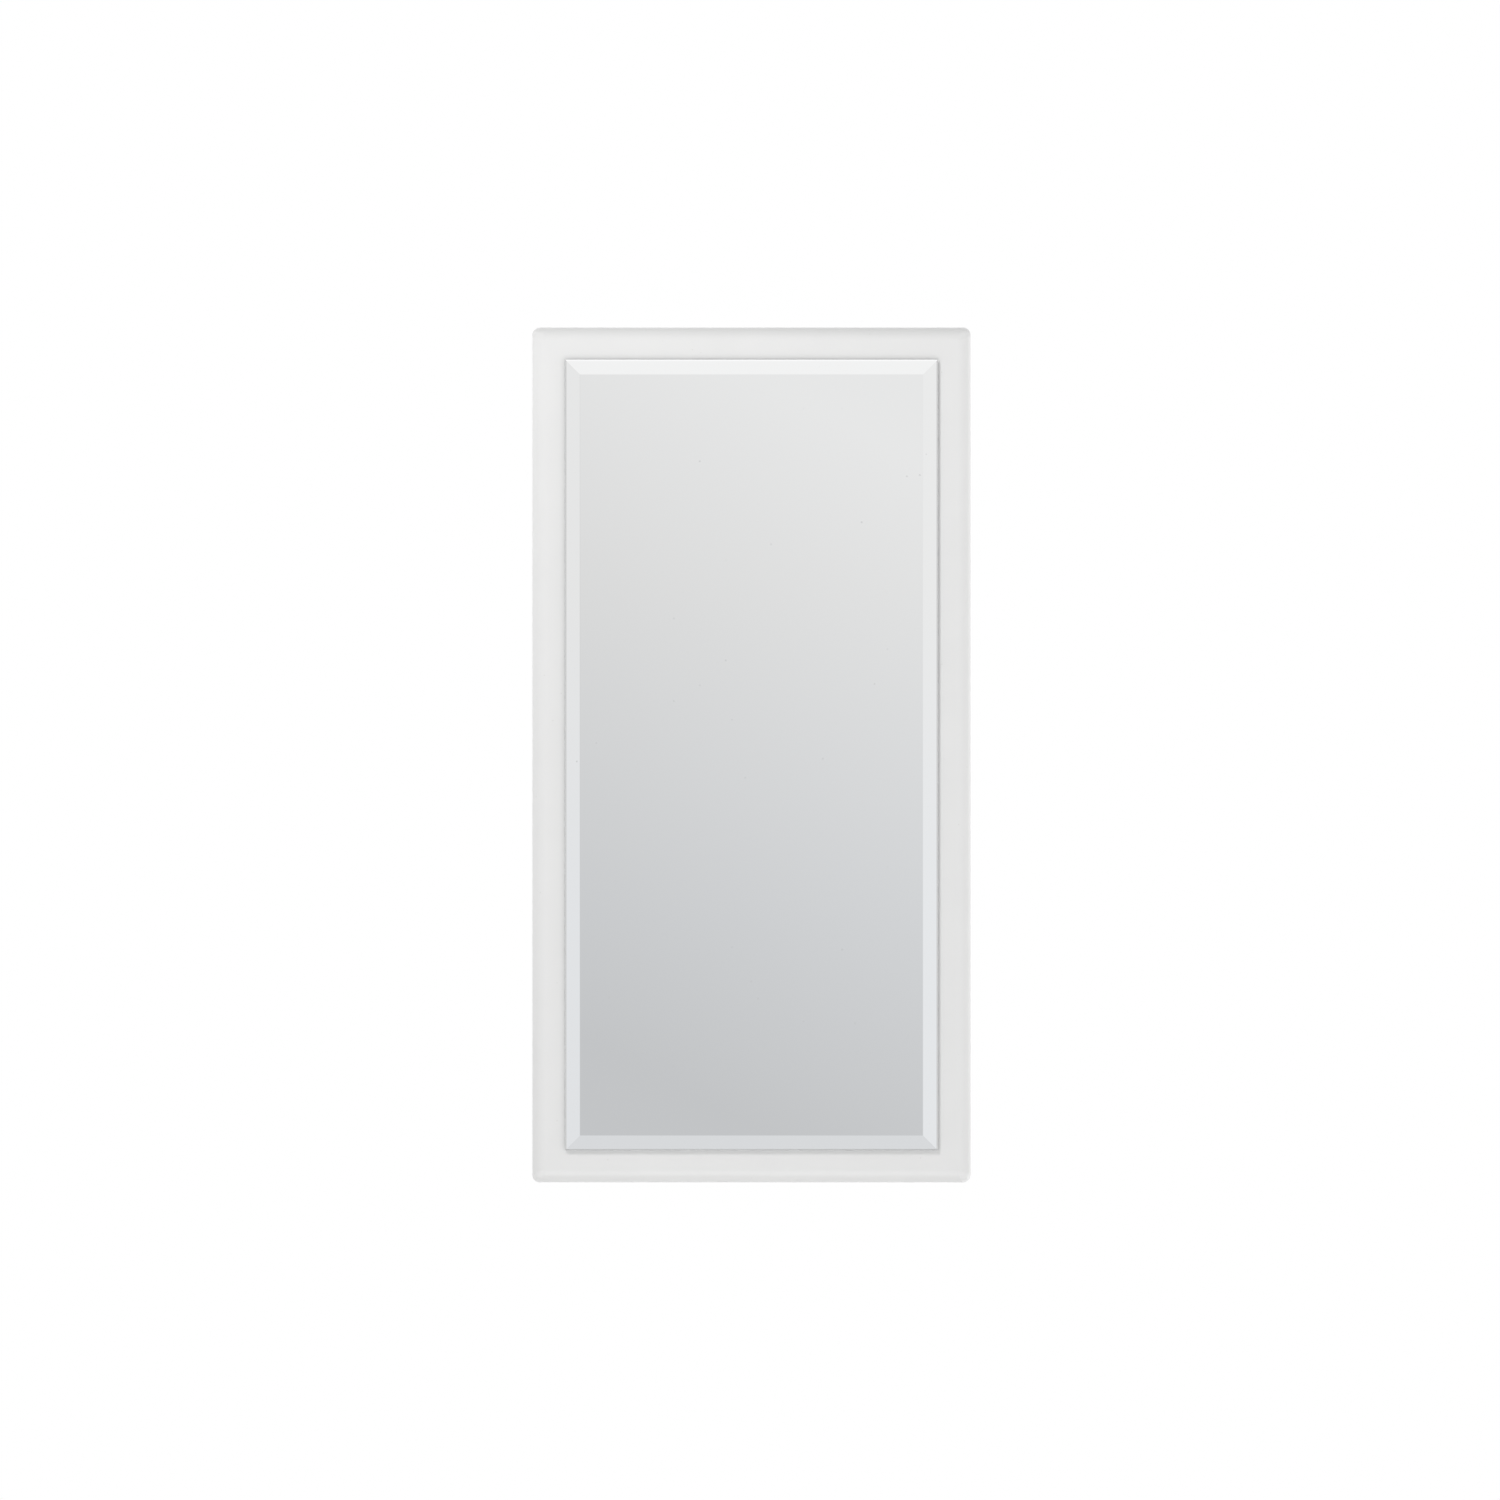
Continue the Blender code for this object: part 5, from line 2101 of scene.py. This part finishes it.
        tools = [notch, rod("bore", Axis.Z, self.pivot, self.eye_bore, self.rise - 0.0125, self.rise + 0.0125, 28)]
        for rise in (-self.cup_screw_rise, self.cup_screw_rise):
            across = (self.x(self.cup_screw), self.rise + rise)
            tools.append(rod("hole", Axis.Y, across, 0.0021, inner - 0.002, outer + 0.002, 28))
        for tool in tools:
            paint(tool, self.palette.nickel)
        cut(cup, *tools)
        Piece(self.name("cup_fine"), DOOR, self.slot, (self.name("cup"),)).finish(cup)


# ------------------------------------------------------------------ push latch
@dataclass
class Latch:
    """Push latch on the right side board, with its strike plate and the door's bumpers."""

    palette: "Palette"
    tube: float = 0.0068
    bore: float = 0.0053
    coil: float = 0.00415
    wire: float = 0.00045
    travel: float = 0.003

    def __post_init__(self) -> None:
        """Read where the latch sits."""
        low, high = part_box("latch_plunger")
        self.axis = (0.5 * (low.x + high.x), 0.5 * (low.z + high.z))
        self.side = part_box("right_side_panel")[0].x

    def build(self) -> None:
        """Make and dress the latch and the door fittings that meet it."""
        self.build_housing()
        self.build_plunger()
        self.build_strike()
        self.build_spring()
        self.build_bumpers()
        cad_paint("latch_magnet", self.palette.zinc)

    def build_housing(self) -> None:
        """Moulded housing: foot plate, lug, collared tube and stiffening ribs."""
        _, level = self.axis
        back = self.side - HAIR
        foot = bevelled(
            box("foot", (self.side - 0.0024, -0.137, level - 0.0080), (back, -0.080, level + 0.0080)), 0.0007, 3
        )
        paint(foot, self.palette.grey_plastic)
        lug = bevelled(
            box("lug", (self.side - 0.0024, -0.132, level + 0.0070), (back, -0.118, level + 0.0200)), 0.0012, 4
        )
        tube = bevelled(rod("tube", Axis.Y, self.axis, self.tube, -0.142, -0.092, 64), 0.0006, 3)
        collar = bevelled(rod("collar", Axis.Y, self.axis, self.tube + 0.0006, -0.1400, -0.1372, 64), 0.0003, 2)
        ribs = [
            bevelled(
                box(
                    "rib",
                    (self.side - 0.0072, -0.134, level + sign * 0.0058 - 0.0006),
                    (self.side - 0.0020, -0.096, level + sign * 0.0058 + 0.0006),
                ),
                0.0003,
                2,
            )
            for sign in (-1, 1)
        ]
        for extra in (lug, tube, collar, *ribs):
            paint(extra, self.palette.grey_plastic)
        join(foot, lug, tube, collar, *ribs)
        tools = [rod("bore", Axis.Y, self.axis, self.bore, -0.1435, -0.0940, 56)]
        for place in ("rear", "front"):
            low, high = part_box("latch_screw_" + place)
            middle = 0.5 * (low + high)
            tools.append(rod("hole", Axis.X, (middle.y, middle.z), 0.0019, self.side - 0.0040, self.side + 0.001, 24))
        for tool in tools:
            paint(tool, self.palette.grey_plastic)
        cut(foot, *tools)
        Piece("latch_housing_fine", CARCASS, "grey_plastic", ("latch_housing",)).finish(foot)

    def build_plunger(self) -> None:
        """Turned plunger with a stem, a shoulder and a cup for the magnet."""
        profile = [
            (0.0026, -0.1040),
            (0.0030, -0.1044),
            (0.0030, -0.1196),
            (0.0034, -0.1200),
            (0.0047, -0.1200),
            (0.0049, -0.1203),
            (0.0049, -0.1440),
            (0.0048, -0.1447),
            (0.0045, -0.1451),
            (0.0042, -0.1452),
            (0.0039, -0.1450),
            (0.0039, -0.1410),
        ]
        plunger = turned("plunger", Axis.Y, self.axis, profile, 64)
        paint(plunger, self.palette.white_plastic)
        Piece("latch_plunger_fine", PLUNGER, "white_plastic", ("latch_plunger",)).finish(plunger)

    def build_spring(self) -> None:
        """Coil spring round the plunger's stem."""
        low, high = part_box("latch_spring")
        front, rear = low.y + self.wire, high.y - self.wire
        spring = linked("spring", bpy.data.meshes.new("spring"))
        run_tree(
            spring,
            COIL,
            {"Turns": 6.0, "Radius": self.coil, "Length": rear - front, "Wire": self.wire, "Finish": self.palette.zinc},
        )
        across, level = self.axis
        spring.data.transform(Matrix.Translation((across, front, level)) @ Matrix.Rotation(-0.5 * math.pi, 4, "X"))
        piece = Piece("latch_spring_fine", CARCASS, "plated_steel", ("latch_spring",)).finish(spring)
        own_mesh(piece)

    def build_strike(self) -> None:
        """Pressed strike plate with rounded edges."""
        low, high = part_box("strike_plate")
        screw_low, screw_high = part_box("strike_screw")
        screw_x = 0.5 * (screw_low.x + screw_high.x)
        level = self.axis[1]
        outline = around(circle(self.axis[0], level, 0.0062, 56) + circle(screw_x, level, 0.0050, 48))
        strike = paint(bevelled(plate("strike", outline, Axis.Y, low.y, high.y), 0.0003, 2), self.palette.nickel)
        hole = rod("hole", Axis.Y, (screw_x, level), 0.0018, low.y - 0.001, high.y + 0.001, 24)
        dish = rod("dish", Axis.Y, self.axis, 0.0046, high.y - 0.00018, high.y + 0.001, 56)
        cut(strike, paint(hole, self.palette.nickel), paint(dish, self.palette.zinc))
        Piece("strike_plate_fine", DOOR, "bright_nickel", ("strike_plate",)).finish(strike)

    def build_bumpers(self) -> None:
        """Domed soft bumpers on the door's back."""
        low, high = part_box("upper_bumper")
        radius, tall = 0.5 * (high.x - low.x), high.y - low.y
        dome = [
            (radius * math.cos(a), -0.55 * tall + 0.55 * tall * math.sin(a)) for a in (0.0, 0.3, 0.6, 0.9, 1.2, 1.45)
        ]
        profile = [(radius * 0.97, -tall), (radius, -tall + 0.0002), *dome]
        template = turned("bumper_template", Axis.Z, (0.0, 0.0), profile, 48)
        way = Vector((0.0, 1.0, 0.0))
        places = [(outer_end(level.value + "_bumper", way), way) for level in Level]
        thing = studded("door_bumpers", template, places, self.palette.soft)
        nodes = tuple(level.value + "_bumper" for level in Level)
        Piece("door_bumpers", DOOR, "soft_rubber", nodes).finish(thing)


# ------------------------------------------------------------------ hanging
@dataclass
class Hangers:
    """Cases in the top corners whose hooks grip a folded wall rail."""

    palette: "Palette"
    case_round: float = 0.0018
    rail_half: float = 0.0009
    rail_bend: float = 0.0030
    hook_half: float = 0.0010

    def build(self) -> None:
        """Make and dress both cases, both hooks and the rail."""
        for side in Side:
            self.build_case(side)
            self.build_hook(side)
        self.build_rail()

    def build_case(self, side: Side) -> None:
        """Moulded case with a raised boss round the adjusting screw and two clip slots.

        Args:
            side: Which top corner.
        """
        node = side.word + "_hanger_case"
        low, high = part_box(node)
        middle = 0.5 * (low.x + high.x)
        screw_low, screw_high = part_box(side.word + "_hanger_screw")
        centre = (middle, 0.5 * (screw_low.z + screw_high.z))
        case = bevelled(box("case", (low.x, low.y + 0.0007, low.z), high), self.case_round, 5)
        paint(case, self.palette.white_plastic)
        panel = box("face", (low.x + 0.0045, low.y, low.z + 0.0045), (high.x - 0.0045, low.y + 0.003, high.z - 0.0045))
        join(case, paint(bevelled(panel, 0.0006, 3), self.palette.white_plastic))
        tools = [
            box("hollow", (middle - 0.014, high.y - 0.012, -0.016), (middle + 0.014, high.y + 0.002, 0.030)),
            rod("bore", Axis.Y, centre, 0.0040, low.y - 0.001, high.y - 0.011, 48),
            turned(
                "sink",
                Axis.Y,
                centre,
                [(0.0040, low.y + 0.0011), (0.0053, low.y - 0.0002), (0.0056, low.y - 0.001)],
                48,
            ),
        ]
        for sign in (-1, 1):
            across = middle + sign * 0.0165
            slot = bevelled_corners(
                box("clip", (across - 0.0022, low.y - 0.001, 0.0280), (across + 0.0022, low.y + 0.0016, 0.0335)), 0.0009
            )
            tools.append(slot)
        for tool in tools:
            paint(tool, self.palette.white_plastic)
        cut(case, *tools)
        Piece(node + "_fine", CARCASS, "white_plastic", (node,)).finish(case)

    def build_hook(self, side: Side) -> None:
        """Folded steel hook that drops behind the rail's lip.

        Args:
            side: Which top corner.
        """
        node = side.word + "_hanger_hook"
        low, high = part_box(node)
        half = self.hook_half
        line = [
            (low.y + half, low.z),
            (low.y + half, high.z - half),
            (high.y - half, high.z - half),
            (high.y - half, 0.0145),
        ]
        hook = plate("hook", strip_outline(eased(line, 0.0022, 5), half), Axis.X, low.x, high.x)
        paint(bevelled(hook, 0.0003, 2), self.palette.zinc)
        Piece(node + "_fine", CARCASS, "plated_steel", (node,)).finish(hook)

    def build_rail(self) -> None:
        """Wall rail folded from one strip, with punched slots between its screws."""
        low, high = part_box("wall_rail")
        half = self.rail_half
        line = [
            (high.y - half, low.z),
            (high.y - half, 0.0111),
            (low.y + half, 0.0111),
            (low.y + half, high.z),
        ]
        outline = strip_outline(eased(line, self.rail_bend * 0.6, 5), half)
        rail = bevelled(plate("rail", outline, Axis.X, low.x, high.x), 0.0003, 2)
        paint(rail, self.palette.zinc)
        tools = []
        for side in Side:
            screw_low, screw_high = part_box(side.word + "_rail_screw")
            centre = (0.5 * (screw_low.x + screw_high.x), 0.5 * (screw_low.z + screw_high.z))
            tools.append(rod("hole", Axis.Y, centre, 0.0028, -0.004, 0.002, 36))
            for offset in (-0.045, 0.045):
                first, second = centre[0] + offset - 0.006, centre[0] + offset + 0.006
                slot = around(circle(first, centre[1], 0.0026, 32) + circle(second, centre[1], 0.0026, 32))
                tools.append(plate("slot", slot, Axis.Y, -0.004, 0.002))
        for tool in tools:
            paint(tool, self.palette.zinc)
        cut(rail, *tools)
        Piece("wall_rail_fine", CARCASS, "plated_steel", ("wall_rail",)).finish(rail)


# ------------------------------------------------------------------ everything
def main() -> None:
    """Build the studio and every sub-assembly."""
    palette = Palette()
    door_low, door_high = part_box("door_panel")
    Studio(door_low, door_high).build(palette)
    Door(palette).build()
    Carcass(palette).build()
    Shelves(palette).build()
    for level in Level:
        Hinge(palette, level).build()
    Latch(palette).build()
    Hangers(palette).build()
    Fasteners(palette).build()


if __name__ == "__main__":
    main()
